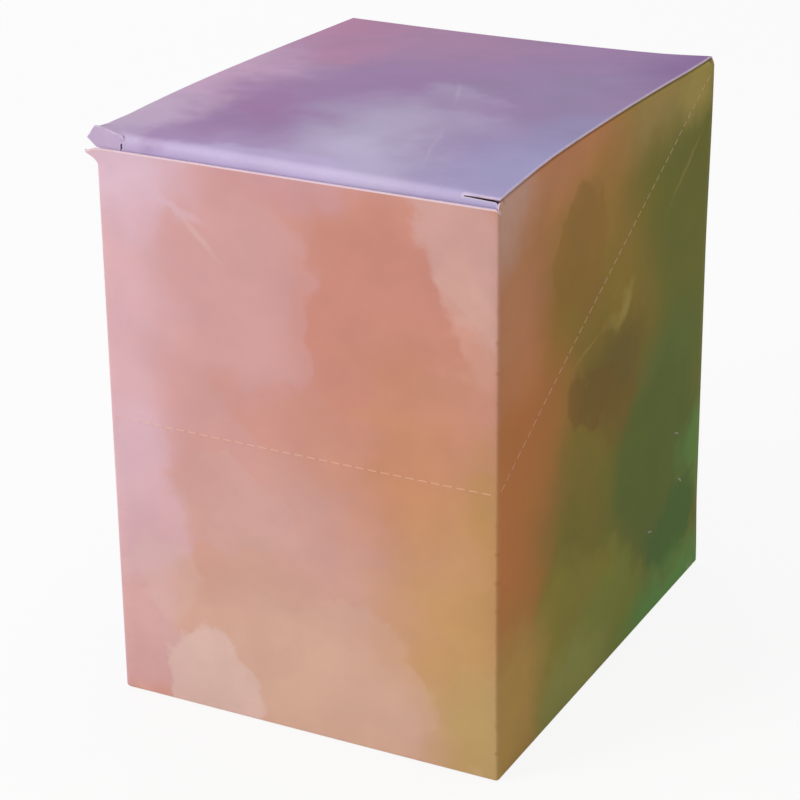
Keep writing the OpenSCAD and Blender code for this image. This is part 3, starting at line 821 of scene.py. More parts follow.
def tear_cuts(sheet):
    """The tear line's cuts in the flat, as small loops."""
    pitch = sheet.cut_l + sheet.tie_l
    cuts = []

    def cut(s, t, lean):
        u, v = turn(lean), turn(lean + 90)
        corners = [(-1, -1), (1, -1), (1, 1), (-1, 1)]
        spread = SIDE_SPREAD if lean else FRONT_SPREAD
        cuts.append([
            np.array([s, t]) + a * sheet.cut_l / 2 * u + b * spread * sheet.cut_w / 2 * v
            for a, b in corners])

    count = math.floor((sheet.half_w - sheet.fold_r - sheet.tie_l) / pitch)
    for k in range(-count, count + 1):
        cut(sheet.along("front", k * pitch), sheet.tear_h, 0)
    run = 2 * (sheet.half_d - sheet.fold_r)
    rise = sheet.panel_h - sheet.tear_end_drop - sheet.tear_h
    slant_l = math.hypot(run, rise)
    slope = math.degrees(math.atan2(rise, run))
    up = turn(slope + 90)
    for k in range(math.floor((slant_l - sheet.tie_l) / pitch)):
        share = (sheet.tie_l + sheet.cut_l / 2 + k * pitch) / slant_l
        bow = 4 * sheet.tear_bow * share * (1 - share)
        lean = slope + math.degrees(math.atan2(4 * sheet.tear_bow * (1 - 2 * share), slant_l))
        y = -sheet.half_d + sheet.fold_r + share * run + bow * up[0]
        z = sheet.tear_h + share * rise + bow * up[1]
        cut(sheet.along("right", y), z, lean)
        cut(sheet.along("left", y), z, -lean)
    return cuts


def split_at(loop, columns, rows):
    """A closed loop with points added where its edges cross the mesh's columns and rows."""
    out = []
    for a, b in zip(loop, loop[1:] + loop[:1]):
        shares = [0.0]
        for axis, places in ((0, columns), (1, rows)):
            if abs(b[axis] - a[axis]) > 1e-6:
                shares += [(p - a[axis]) / (b[axis] - a[axis]) for p in places]
        span = np.linalg.norm(b - a)
        last = -1.0
        for share in sorted(f for f in shares if 0 <= f < 1):
            if (share - last) * span > 0.1 and (1 - share) * span > 0.1 or share == 0:
                out.append(a + (b - a) * share)
                last = share
    return out


def carton_parts(sheet, top_z):
    """The carton's walls and flaps, folded."""
    foot, high = sheet.base_fold_r, sheet.panel_h
    bend = QUARTER * foot
    s0, s1 = sheet.ring_at["front_left"]
    right_s = sheet.ring_at["right"][0]
    rim_columns = list(np.arange(s1 + 4, sheet.ring_at["front"][1], RIM_STEP))
    columns = fold_columns(sheet)
    fine = [c for name in FOLDS for c in np.linspace(*sheet.ring_at[name], FOLD_STEPS + 1)]
    fine += list(np.arange(s1 + FINE_STEP, s1 + 4, FINE_STEP))
    fine += list(np.arange(s0 - 4, s0, FINE_STEP)) + rim_columns
    fine_rows = [foot - bend * k / FOLD_STEPS for k in range(FOLD_STEPS + 1)]
    outline = split_at(split_long(carton_outline(sheet, top_z), PANEL_STEP), fine, fine_rows)
    seeds = [(s, t) for s in columns for t in carton_rows(sheet, s)]
    seeds += [(s, t) for s in np.arange(s0 - 4, s1 + 3, FINE_STEP)
              for t in np.arange(high - 5, high, FINE_STEP)]
    seeds += [(s, high - down) for s in rim_columns for down in RIM_ROWS]
    flat = FlatSheet(outline, seeds, tear_cuts(sheet))

    def place(s, t, depth):
        return sheet.soften_wall(sheet.wall_place(s, t, depth), s)

    verts, faces, kinds, places, _ = flat.folded(place, sheet.board_t, GROOVE)
    worn_and_lit = []
    for k, (s, t) in enumerate(places):
        name = sheet.ring_point(s, 0)[0]
        # Painted highlight along the front panel's cut edge
        if s0 < s < right_s and high - PALE_EDGE < t < high + 0.01:
            worn_and_lit.append(EDGE_PAINTED_HIGHLIGHT)
        # Tear cuts: paler partly by wear, partly by painted highlight on their rims
        elif k >= 2 * len(flat.flat):
            worn_and_lit.append(SIDE_CUT_WEAR_AND_HIGHLIGHT if name in ("left", "right") else FRONT_CUT_WEAR_AND_HIGHLIGHT)
        elif name in FOLDS:
            worn_and_lit.append(WORN_FOLD)
        else:
            worn_and_lit.append(WORN_FOOT if foot - bend < t < foot else 0)
    return verts, faces, kinds, places, worn_and_lit


def lid_columns(sheet):
    """The places across the lid where its mesh has columns."""
    w = sheet.lid_half_w
    return sorted(set(np.round(np.concatenate([
        np.linspace(-w, w, 16), [-w + 0.4, -w + 1, -w + 2.5, -w + 4.5, w - 0.4, w - 1, w - 2.5]]), 4)))


def lid_parts(sheet, start_v):
    """The lid with its front crease, slit locks, tuck flap and bent ear, folded."""
    w, tuck_w, tuck_r = sheet.lid_half_w, sheet.tuck_half_w, sheet.tuck_corner_r
    crease_v, tuck_v, end_v = sheet.arc_v[2:]
    slit_v = crease_v + sheet.front_crease_r * math.radians(sheet.slit_a - sheet.arcs[2][2])
    gap = sheet.slit_gap / 2
    rim_v, low_rim_v = slit_v - gap, slit_v + gap * 1.3
    leg_v = slit_v + sheet.slit_leg_l + 1
    right_x = sheet.half_w - sheet.right_slit_l
    left_x = -sheet.half_w + sheet.left_slit_l
    leg_x = left_x - 0.7 * sheet.slit_gap
    shoulder = tuck_w + 0.3
    path = [
        (-w, start_v, 0), (w, start_v, 0), (w, rim_v, 0),
        (right_x, slit_v - gap * 0.5, 0), (right_x - 0.25, slit_v, 0), (right_x, slit_v + gap * 0.6, 0),
        (shoulder - 0.8, low_rim_v, 0), (shoulder, low_rim_v + 0.7, 0), (tuck_w, slit_v + 4, 0),
        (tuck_w, end_v, tuck_r), (-tuck_w, end_v, tuck_r),
        (-tuck_w, leg_v, 0), (leg_x, leg_v, 0), (leg_x + 0.1, leg_v - 0.6, 0),
        (left_x - 0.1, leg_v - 0.6, 0), (left_x, rim_v, 0), (-w, rim_v, 0)]
    flat_v = crease_v - 2.4
    rows = list(np.linspace(start_v, crease_v - 4, 17)) + [flat_v, crease_v - 1]
    rows += list(np.linspace(crease_v, tuck_v, FOLD_STEPS + 3))
    rows += [rim_v - 0.55, low_rim_v + 0.3, tuck_v + 0.8, tuck_v + 2, tuck_v + 3.4]
    rows += list(np.linspace(tuck_v + 6, end_v, 4))
    columns = lid_columns(sheet) + list(np.linspace(left_x - 4, left_x + 1.5, 7))
    columns += list(np.linspace(right_x - 1, right_x + 6, 7))
    outline = split_at(rounded(path + [path[0]])[:-1], columns, rows)
    flat = FlatSheet(outline, [(x, v) for x in columns for v in rows])

    def place(x, v, depth):
        """Over the slits, the board lies straight from flat_v to the slit's rim."""
        plain = sheet.soften_lid(sheet.lid_place(x, v, depth))
        if not flat_v < v <= rim_v + 1e-6 or left_x <= x <= right_x:
            return plain
        share = (v - flat_v) / (rim_v - flat_v)
        start = sheet.soften_lid(sheet.lid_place(x, flat_v, depth))
        rolled = sheet.soften_lid(sheet.lid_place(x, rim_v, depth))
        if x > right_x:
            past = ease(x, right_x - 1, right_x + 5)
            rim = rolled + np.array([0, -0.55 * past, 0.35 * past])
        else:
            past = ease(left_x - x, -0.5, 3)
            rise = sheet.panel_h + 2.75 + 0.36 * (left_x - x)
            lifted = np.array([x, -sheet.half_d + 0.95, rise - depth])
            rim = rolled + (lifted - rolled) * past
        straight = start + (rim - start) * share
        return plain + (straight - plain) * past

    verts, faces, kinds, places, rim = flat.folded(place, sheet.board_t)
    # Painted highlight along the lid's front crease, brightest mid-bend
    worn_and_lit = [
        FRONT_CREASE_PAINTED_HIGHLIGHT * math.sin(math.pi * ease(v, crease_v - 0.5, tuck_v + 1.5))
        for _, v in places]
    for k, (x, v) in enumerate(places[:len(flat.flat)]):
        if rim_v - 0.6 < v <= rim_v + 1e-6 and x > right_x - 0.5:
            worn_and_lit[k] = WORN_SLIT_TOP
    for k in rim:
        x, v = places[k]
        if crease_v < v < leg_v and x > right_x - 1:
            worn_and_lit[k] = WORN_SLIT_RIM if x < w - 1 else WORN_SLIT_END
        # Painted highlight on the lid's right side rim
        elif v < leg_v and x > w - 0.1:
            worn_and_lit[k] = SIDE_RIM_PAINTED_HIGHLIGHT
    for n, face in enumerate(faces):
        corners = [places[k] for k in face]
        if kinds[n] == CUT and all(x > shoulder - 0.9 and slit_v < v < leg_v for x, v in corners):
            kinds[n] = PRINTED
    printed = [(sheet.along("back", x), sheet.back_mid[1] + v) for x, v in places]
    return [(verts, faces, kinds, printed, worn_and_lit), ear_part(sheet, leg_x, slit_v, leg_v)]


def ear_part(sheet, slit_x, slit_v, leg_v):
    """The shoulder's end outside the left slit, bent up and out of the carton."""
    slit_z = sheet.profile(slit_v, 0)[1]
    foot_z = sheet.profile(leg_v, 0)[1]
    w, high = sheet.half_w, sheet.panel_h
    path = [
        (slit_x - 0.2, foot_z, 0), (slit_x - 0.2, slit_z - 1.7, 0),
        (slit_x + 0.35, slit_z - 1.2, 0), (slit_x + 0.9, slit_z - 0.3, 0),
        (slit_x + 0.5, slit_z + 0.6, 0.3), (slit_x - 1.2, slit_z + 1.05, 0),
        (-w + 0.5, high + 5.15, 0.3), (-w - 0.7, high + 5.2, 0.3), (-w - 2.9, high + 2.05, 0.3),
        (-w - 0.35, high - 0.3, 0.3), (-sheet.tuck_half_w, high - 0.4, 0), (-sheet.tuck_half_w, foot_z, 0)]
    edge_step, step = 0.8, 0.6
    outline = split_long(rounded(path + [path[0]])[:-1], edge_step)
    seeds = [(x, z) for x in np.arange(-w - 3, slit_x + 0.8, step)
             for z in np.arange(foot_z, high + 6, step)]
    flat = FlatSheet(outline, seeds)
    verts, faces, kinds, places, rim = flat.folded(sheet.ear_place, sheet.board_t)
    kinds = [PRINTED if kind == CUT else kind for kind in kinds]
    worn_and_lit = [0.0] * len(places)
    # Painted highlight along the ear's top rim at its fold; wear at its foot
    for k in rim:
        amount = EAR_RIM_PAINTED_HIGHLIGHT if places[k][1] > high + 2.5 else WORN_EAR_FOOT
        worn_and_lit[k] = worn_and_lit[k + len(flat.flat)] = amount
    top = sheet.back_mid[1] + slit_v + slit_z
    printed = [(sheet.along("back", x), top - z) for x, z in places]
    return verts, faces, kinds, printed, worn_and_lit


def crease_part(sheet, start_v, end_v):
    """The back crease between the back panel and the lid."""
    narrow, wide = sheet.half_w - sheet.fold_r, sheet.lid_half_w
    bend_v = sheet.arc_v[1]
    # The strip is meshed to this half width, and then stretched to its own at each row
    meshed_w = 50
    columns = list(np.linspace(-1, 1, 17)) + [-0.985, -0.955, 0.985, 0.955]
    rows = [start_v, start_v / 2, *np.linspace(0, bend_v, FOLD_STEPS + 5), end_v - 0.25, end_v]
    corners = [(-1, start_v), (1, start_v), (1, end_v), (-1, end_v)]
    outline = split_at([np.array(c) for c in corners], columns, rows)
    seeds = [(meshed_w * u, v) for u in columns for v in rows]
    flat = FlatSheet([p * np.array([meshed_w, 1]) for p in outline], seeds)

    def across(u, v):
        return u / meshed_w * (narrow + (wide - narrow) * ease(v, start_v * 0.5, bend_v))

    def place(u, v, depth):
        x, y, z = sheet.lid_place(across(u, v), v, depth)
        return sheet.soften_lid((x, y, z)) + sheet.push(x, y, z) * (1 - ease(v, 0, bend_v))

    verts, faces, kinds, places, _ = flat.folded(place, sheet.board_t)
    printed = [(sheet.along("back", across(u, v)), sheet.back_mid[1] + v) for u, v in places]
    worn_and_lit = [WORN_BACK_CREASE * (0 < v < bend_v) for _, v in places]
    return verts, faces, kinds, printed, worn_and_lit


class Shader:
    """A material's node tree, with short ways to add nodes to it."""

    def __init__(self, name):
        self.material = bpy.data.materials.new(name)
        self.material.use_nodes = True
        self.tree = self.material.node_tree
        self.surface = self.tree.nodes["Principled BSDF"]

    def add(self, kind, settings=None, **sockets):
        """Adds a node. Settings are its own properties, and sockets its inputs by name or number."""
        node = self.tree.nodes.new(kind)
        for name, value in (settings or {}).items():
            setattr(node, name, value)
        for name, value in sockets.items():
            key = int(name[1:]) if name[0] == "i" and name[1:].isdigit() else name.replace("_", " ")
            self.feed(node.inputs[key], value)
        return node

    def feed(self, socket, value):
        """Links an output to a socket, or sets the socket's value."""
        if isinstance(value, bpy.types.NodeSocket):
            self.tree.links.new(value, socket)
        elif hasattr(value, "__len__") and len(value) == 3 and socket.type == "RGBA":
            socket.default_value = (*value, 1)
        else:
            socket.default_value = value

    def attribute(self, name, output):
        return self.add("ShaderNodeAttribute", {"attribute_name": name}).outputs[output]

    def noise(self, place, scale, detail=2, roughness=0.5):
        return self.add("ShaderNodeTexNoise", Vector=place, Scale=scale, Detail=detail, Roughness=roughness)

    def pool(self, place, colour, paint_on, centre, reach, tilt, soft, strength):
        """Lays an oval pool of paint on a colour. Soft is the share of its reach over which it fades."""
        mapped = self.add("ShaderNodeMapping", {"vector_type": "TEXTURE"}, Vector=place)
        mapped.inputs["Location"].default_value = (centre[0] * MM, centre[1] * MM, 0)
        mapped.inputs["Rotation"].default_value = (0, 0, math.radians(tilt))
        mapped.inputs["Scale"].default_value = (reach[0] * MM, reach[1] * MM, 1)
        spread = self.vectors("LENGTH", mapped.outputs[0])
        return self.mix(self.ramp(spread, 1.0, 1.0 - soft, 0.0, strength), colour, paint_on)

    def maths(self, operation, a, b):
        return self.add("ShaderNodeMath", {"operation": operation}, i0=a, i1=b).outputs[0]

    def vectors(self, operation, a, b=(0, 0, 0)):
        node = self.add("ShaderNodeVectorMath", {"operation": operation}, i0=a, i1=b)
        return node.outputs["Value" if operation == "LENGTH" else "Vector"]

    def scaled(self, vector, factor):
        return self.vectors("MULTIPLY", vector, (factor,) * 3)

    def wobble(self, place, scale, detail, roughness, reach):
        """A shift that changes from place to place, by reach millimetres from end to end."""
        colour = self.noise(place, scale, detail, roughness).outputs["Color"]
        return self.scaled(self.vectors("SUBTRACT", colour, (0.5,) * 3), reach * MM)

    def ramp(self, value, low, high, to_low=0.0, to_high=1.0, smooth=True):
        kind = "SMOOTHSTEP" if smooth else "LINEAR"
        node = self.add("ShaderNodeMapRange", {"interpolation_type": kind}, i0=value)
        for key, number in zip((1, 2, 3, 4), (low, high, to_low, to_high)):
            node.inputs[key].default_value = number
        return node.outputs[0]

    def mix(self, factor, a, b):
        node = self.add("ShaderNodeMix", {"data_type": "RGBA"})
        self.feed(node.inputs[0], factor)
        self.feed(node.inputs[6], a)
        self.feed(node.inputs[7], b)
        return node.outputs[2]

    def bump(self, height, strength, distance):
        return self.add("ShaderNodeBump", Strength=strength, Distance=distance, Height=height).outputs[0]


# Pools of the printed wash on each panel, broad ones first, in millimetres and degrees: (colour,
# place across, place up or along, reach across, reach up or along, tilt, softness, strength)
BACK_POOLS = [
    ("sage", 46, 70, 48, 80, 0, 0.9, 0.9),
    ("heather", -50, 96, 50, 70, 0, 0.9, 0.9),
    ("violet", 0, 142, 90, 36, 0, 0.9, 1.0),
    ("olive", 34, 20, 36, 26, 0, 0.3, 0.5),
    ("plum", -20, 60, 30, 26, 20, 0.4, 0.4),
    ("haze", -30, 20, 26, 18, 10, 0.3, 0.5)]
LID_POOLS = [
    ("violet", 0, 0, 74, 94, 0, 0.15, 1.0),
    ("heather", -20, 56, 56, 44, 0, 0.9, 0.9),
    ("orchid", -56, 58, 40, 56, 6, 0.9, 1.0),
    ("grape", 64, 66, 40, 60, -10, 0.9, 1.0),
    ("iris", 38, 14, 40, 56, 0, 0.9, 0.8),
    ("lilac", -64, -6, 40, 60, 0, 0.7, 0.95),
    ("pearl", -60, -60, 28, 60, 0, 0.8, 0.95),
    ("lavender", 62, -50, 56, 62, 30, 0.9, 1.0),
    ("haze", 8, -30, 34, 34, 25, 0.9, 0.95),
    ("mist", 12, -56, 34, 28, -30, 0.9, 0.9),
    ("periwinkle", 54, -16, 20, 30, 0, 0.8, 0.7),
    ("plum", -28, -24, 14, 28, 20, 0.7, 0.9),
    ("plum", -34, -60, 12, 22, 10, 0.7, 0.7),
    ("orchid", -34, 28, 14, 20, -20, 0.7, 0.7),
    ("haze", 12, 2, 12, 14, 20, 0.8, 0.5),
    ("pearl", 10, 2, 16, 1.0, -66, 1.0, 0.35),
    ("pearl", 25, -42, 26, 0.8, -74, 1.0, 0.35),
    # Painted highlight: the lit band along the lid's front crease
    ("frost", 0, -70, 90, 30, 0, 0.9, 0.4),
    ("frost", 0, -74, 76, 10, 0, 0.5, 0.5)]
LEFT_POOLS = [
    ("blush", -64, 90, 46, 100, 0, 0.9, 0.95),
    ("heather", 44, 100, 48, 90, 0, 0.9, 0.9),
    ("orchid", -10, 60, 30, 34, 12, 0.3, 0.5),
    ("rose", -40, 26, 34, 26, -8, 0.5, 0.7),
    ("pearl", 6, 122, 24, 20, 8, 0.2, 0.5),
    ("dusty", 10, 16, 30, 18, 0, 0.2, 0.5)]
RIGHT_POOLS = [
    ("hazel", -6, 110, 50, 70, 0, 0.8, 1.0),
    ("rust", -78, 88, 64, 96, -14, 0.7, 1.0),
    ("amber", -24, 162, 66, 50, -10, 0.8, 1.0),
    ("terracotta", -66, 126, 42, 34, -20, 0.8, 0.85),
    # This pool lightens the top strip: partly print, partly painted highlight of the rounded dust fold
    # under the lid
    ("terracotta", -40, 160, 48, 26, 0, 0.8, 0.85),
    ("clay", -74, 160, 34, 32, -20, 0.7, 0.95),
    ("straw", 34, 160, 50, 32, 0, 0.9, 0.95),
    ("citron", 58, 152, 30, 14, 12, 0.8, 0.8),
    ("umber", -18, 124, 17, 17, 0, 0.2, 0.65),
    ("moss", 2, 88, 32, 24, -25, 0.8, 0.9),
    ("bark", -14, 87, 18, 9, -14, 0.3, 0.8),
    ("bark", 10, 70, 28, 13, -40, 0.6, 0.65),
    ("khaki", -18, 52, 30, 28, -20, 0.7, 0.6),
    ("rust", -48, 64, 30, 70, -16, 0.9, 0.5),
    ("willow", -20, 24, 36, 24, -18, 0.4, 0.8),
    ("sage", 44, 66, 36, 36, 20, 0.9, 0.9),
    ("fern", 36, 46, 34, 34, 25, 0.4, 0.95),
    ("reed", 0, 12, 26, 22, -15, 0.4, 0.8),
    ("wheat", -70, 12, 48, 44, -10, 0.7, 0.95),
    ("lichen", -22, 0, 36, 24, 0, 0.7, 0.85),
    ("leaf", 70, 40, 22, 20, 0, 0.6, 0.6),
    ("pine", 44, 21, 25, 12, 8, 0.4, 0.95),
    ("leaf", 46, -2, 50, 21, 4, 0.7, 0.9),
    ("citron", 4, 107, 11, 6, 25, 0.8, 0.6),
    ("citron", 50, 127, 20, 1.2, 32, 1.0, 0.4),
    ("citron", -16, 98.5, 14, 0.9, 12, 1.0, 0.4),
    ("board", 31, 26, 2.2, 0.35, -20, 0.8, 0.5),
    ("board", 49, 48.7, 2.5, 0.3, -30, 0.8, 0.5),
    ("board", 53, 32.6, 2.2, 0.35, -40, 0.8, 0.5)]
FRONT_POOLS = [
    ("petal", -4, 60, 60, 44, 0, 0.9, 0.7),
    ("sand", -6, 20, 80, 48, 0, 0.8, 0.9),
    ("fawn", 8, 6, 56, 38, -10, 0.8, 0.9),
    ("rose", -30, 118, 42, 60, 0, 0.7, 0.95),
    ("dusty", 2, 156, 42, 17, 10, 0.7, 0.85),
    ("salmon", 20, 120, 30, 32, -20, 0.5, 0.95),
    ("peach", 34, 82, 36, 42, 0, 0.9, 0.95),
    ("petal", 43, 148, 15, 38, 15, 0.3, 0.8),
    ("clay", 46, 122, 10, 20, 10, 0.3, 0.35),
    ("apricot", 50, 42, 39, 52, 15, 0.9, 1.0),
    ("ochre", 62, 66, 22, 40, 0, 0.8, 1.0),
    ("honey", 58, 4, 33, 44, 10, 0.7, 1.0),
    ("blush", -60, 96, 34, 80, -4, 0.65, 0.95),
    ("mauve", -56, 156, 38, 30, -20, 0.6, 0.95),
    ("mauve", -56, 60, 23, 34, 8, 0.3, 0.45),
    ("rose", -13, 118, 19, 28, 4, 0.15, 0.5),
    ("petal", -20, 62, 22, 17, -12, 0.15, 0.55),
    ("blush", -56, 20, 24, 34, 8, 0.4, 0.55),
    ("shell", -28, 6, 17, 19, -25, 0.12, 0.8),
    ("fawn", 18, 24, 24, 20, -30, 0.12, 0.4),
    ("shell", -42, 36, 12, 16, 20, 0.3, 0.3),
    ("mauve", -32, 138, 11, 3, -35, 0.7, 0.4),
    ("coral", 4, 92, 34, 10, -5, 0.5, 0.5),
    ("shell", -27, 134, 11, 1.5, -46, 0.9, 0.4)]


# Each panel's ground colour and pools
WASHES = {
    "left": ("lilac", LEFT_POOLS),
    "front": ("coral", FRONT_POOLS),
    "right": ("olive", RIGHT_POOLS),
    "back": ("teal", BACK_POOLS),
    "lid": ("violet", LID_POOLS)}
# One panel's wash passes into the next within this far of their fold's middle
WASH_EDGE = 1.2
# Pools that reach less than this either way keep their outlines crisp
CRISP_REACH = 2


def pools_on(sheet, panel, over_edge=False):
    """A panel's pools with their places on the flat sheet, or only those that run past its back end."""
    lid_back = sheet.back_mid[1] + sheet.arc_v[1] + sheet.back_mid[0]
    laid = []
    for name, across, up, reach_a, reach_b, *rest in WASHES[panel][1]:
        if over_edge and up + reach_b <= sheet.half_d:
            continue
        on_lid = panel == "lid"
        s = sheet.along("back" if on_lid else panel, across)
        laid.append((name, (s, lid_back - up if on_lid else up), (reach_a, reach_b), *rest))
    return laid


def wash_colour(shader, sheet, palette, place, walls):
    """The printed wash: soft and hard-rimmed pools of colour that run into each other."""
    drift = shader.wobble(place, 28, 3, 0.55, 34)
    fray = shader.wobble(place, 120, 5, 0.6, 11)
    moved = shader.vectors("ADD", shader.vectors("ADD", place, drift), fray)
    frayed = shader.vectors("MULTIPLY", moved, (1, 1, 0))
    crisp = shader.vectors("ADD", place, shader.scaled(fray, 0.3))
    crisp = shader.vectors("MULTIPLY", crisp, (1, 1, 0))

    def washed(panel, pools):
        colour = tuple(getattr(palette, WASHES[panel][0]))
        for name, centre, reach, *rest in pools:
            where = frayed if min(reach) > CRISP_REACH else crisp
            colour = shader.pool(where, colour, tuple(getattr(palette, name)), centre, reach, *rest)
        return colour

    if not walls:
        return washed("lid", pools_on(sheet, "back") + pools_on(sheet, "lid"))
    along = shader.add("ShaderNodeSeparateXYZ", Vector=place).outputs["X"]
    colour = washed("left", pools_on(sheet, "left"))
    for panel in ("front", "right", "back"):
        over = pools_on(sheet, "lid", True) if panel == "back" else []
        fold = (sheet.ring_at[panel][0] - QUARTER * sheet.fold_r / 2) * MM
        passed = shader.ramp(along, fold - WASH_EDGE * MM, fold + WASH_EDGE * MM)
        colour = shader.mix(passed, colour, washed(panel, pools_on(sheet, panel) + over))
    return colour


def printed_board(name, sheet, palette, walls):
    """Printed and varnished board, with its wash, faint fibres, and paler creases and rims that are partly
    wear and partly painted highlight.
    """
    shader = Shader(name)
    place = shader.attribute("sheet_place", "Vector")
    colour = wash_colour(shader, sheet, palette, place, walls)
    grain = shader.noise(place, 900, 4, 0.6).outputs[0]
    blotch = shader.noise(place, 60, 4, 0.55).outputs[0]
    cloud = shader.ramp(blotch, 0.3, 0.72, 0.96, 1.04)
    clouds = shader.add("ShaderNodeCombineXYZ", X=cloud, Y=cloud, Z=cloud).outputs[0]
    colour = shader.vectors("MULTIPLY", colour, clouds)
    speckle = shader.ramp(grain, 0.3, 0.7, 0.85, 1.1)
    wear = shader.maths("MULTIPLY", shader.attribute("wear", "Fac"), speckle)
    # Wear and painted highlight share one channel and these paler colours
    rubbed_and_lit, most_rubbed_and_lit, most_bared_and_lit = (palette.tear_wear_and_highlight, 0.75, 0.9) if walls else (palette.rub_and_highlight, 0.45, 0.8)
    rub_and_highlight = shader.ramp(wear, 0.0, 0.5, 0.0, most_rubbed_and_lit, False)
    colour = shader.mix(rub_and_highlight, colour, tuple(rubbed_and_lit))
    bared_and_lit = shader.ramp(wear, 0.55, 0.8, 0.0, most_bared_and_lit, False)
    colour = shader.mix(bared_and_lit, colour, tuple(palette.board))
    shader.feed(shader.surface.inputs["Base Color"], colour)
    gloss = shader.ramp(blotch, 0.3, 0.7, 0.46, 0.54, False)
    shader.feed(shader.surface.inputs["Roughness"], gloss)
    shader.surface.inputs["Specular IOR Level"].default_value = 0.02
    ripple = shader.noise(place, 240, 3).outputs[0]
    height = shader.maths("ADD", grain, shader.maths("MULTIPLY", ripple, 2))
    shader.feed(shader.surface.inputs["Normal"], shader.bump(height, 0.12, 0.0002))
    return shader.material


def bare_board(name, colour, rough):
    """Unprinted board, with its fibres."""
    shader = Shader(name)
    place = shader.attribute("sheet_place", "Vector")
    fibre = shader.noise(shader.vectors("MULTIPLY", place, (1, 0.35, 1)), 1500, 4, 0.7).outputs[0]
    mottle = shader.noise(place, 220, 3).outputs[0]
    tone = shader.maths("ADD", shader.maths("MULTIPLY", fibre, 0.6), shader.maths("MULTIPLY", mottle, 0.4))
    darker = tuple(c * 0.8 for c in colour)
    shade = shader.mix(shader.ramp(tone, 0.35, 0.65), darker, tuple(colour))
    shader.feed(shader.surface.inputs["Base Color"], shade)
    shader.surface.inputs["Roughness"].default_value = rough
    shader.feed(shader.surface.inputs["Normal"], shader.bump(fibre, 0.25, 0.0002))
    return shader.material


def board_materials(sheet, palette, printed):
    """The three finishes of the board: printed, bare and cut. Each is made once."""
    if printed not in bpy.data.materials:
        printed_board(printed, sheet, palette, printed == "printed_panels")
    if "bare_board" not in bpy.data.materials:
        bare_board("bare_board", palette.bare, 0.85)
        bare_board("cut_board", palette.board, 0.8)
    return [bpy.data.materials[n] for n in (printed, "bare_board", "cut_board")]


# The back crease's strip starts on the back panel and ends on the lid, this far past its bend
STRIP_PAST = 0.6


def strip_ends(sheet):
    """Where the back crease's strip starts and ends along the lid's profile."""
    return sheet.wall_top(sheet.half_d) - sheet.back_mid[1], sheet.arc_v[1] + STRIP_PAST


def strip_blend(sheet):
    """The two places between which the strip bends, clear of both its ends."""
    start, end = strip_ends(sheet)
    y, z = sheet.profile(end, 0)
    return (0, sheet.half_d * MM, (sheet.back_mid[1] - 0.3) * MM), (0, (y + 0.1) * MM, (z - 0.05) * MM)


class CARTON_OT_fold_carton(bpy.types.Operator):
    """Folds the carton's four panels, glue tab, dust flaps and base"""
    bl_idname = "carton.fold_carton"
    bl_label = "Fold carton"

    def execute(self, context):
        sheet = FoldedSheet(context.scene.carton_sizes)
        materials = board_materials(sheet, context.scene.carton_palette, "printed_panels")
        top_z = sheet.back_mid[1] + strip_ends(sheet)[0]
        piece = add_piece("carton_sheet", [carton_parts(sheet, top_z)], materials)
        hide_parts("carton")
        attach(piece, "carton")
        return {"FINISHED"}


class CARTON_OT_fold_lid(bpy.types.Operator):
    """Folds the lid with its slit locks, tuck flap and bent ear"""
    bl_idname = "carton.fold_lid"
    bl_label = "Fold lid"

    def execute(self, context):
        sheet = FoldedSheet(context.scene.carton_sizes)
        materials = board_materials(sheet, context.scene.carton_palette, "printed_lid")
        piece = add_piece("lid_sheet", lid_parts(sheet, strip_ends(sheet)[1]), materials)
        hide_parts("lid")
        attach(piece, "lid")
        return {"FINISHED"}


class CARTON_OT_fold_back_crease(bpy.types.Operator):
    """Folds the back crease, which bends between the back panel and the lid"""
    bl_idname = "carton.fold_back_crease"
    bl_label = "Fold back crease"

    def execute(self, context):
        sheet = FoldedSheet(context.scene.carton_sizes)
        materials = board_materials(sheet, context.scene.carton_palette, "printed_lid")
        piece = add_piece("back_crease", [crease_part(sheet, *strip_ends(sheet))], materials)
        start, end = strip_blend(sheet)
        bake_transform(piece)
        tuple(start)
        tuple(end)
        return {"FINISHED"}


def lamp(name, at, aim, size, power):
    """A square area lamp that faces a point."""
    data = bpy.data.lights.new(name, "AREA")
    data.size, data.energy = size, power
    obj = bpy.data.objects.new(name, data)
    obj.location = at
    obj.rotation_mode = "QUATERNION"
    obj.rotation_quaternion = (Vector(aim) - Vector(at)).to_track_quat("-Z", "Y")
    bpy.context.scene.collection.objects.link(obj)


# How much of the floor's colour is its own white, where the rest keeps the object's shadow
FLOOR_WHITE = 0.88
# The floor lies this far below the carton's base, clear of its lowest faces
FLOOR_DROP = 0.2


def seen_directly(tree):
    """1 where the camera, a reflection or glass sees the surface, and 0 where it lights the object."""
    path = tree.nodes.new("ShaderNodeLightPath")
    seen = path.outputs["Is Camera Ray"]
    for name in ("Is Glossy Ray", "Is Transmission Ray"):
        either = tree.nodes.new("ShaderNodeMath")
        either.operation = "MAXIMUM"
        tree.links.new(seen, either.inputs[0])
        tree.links.new(path.outputs[name], either.inputs[1])
        seen = either.outputs[0]
    return seen


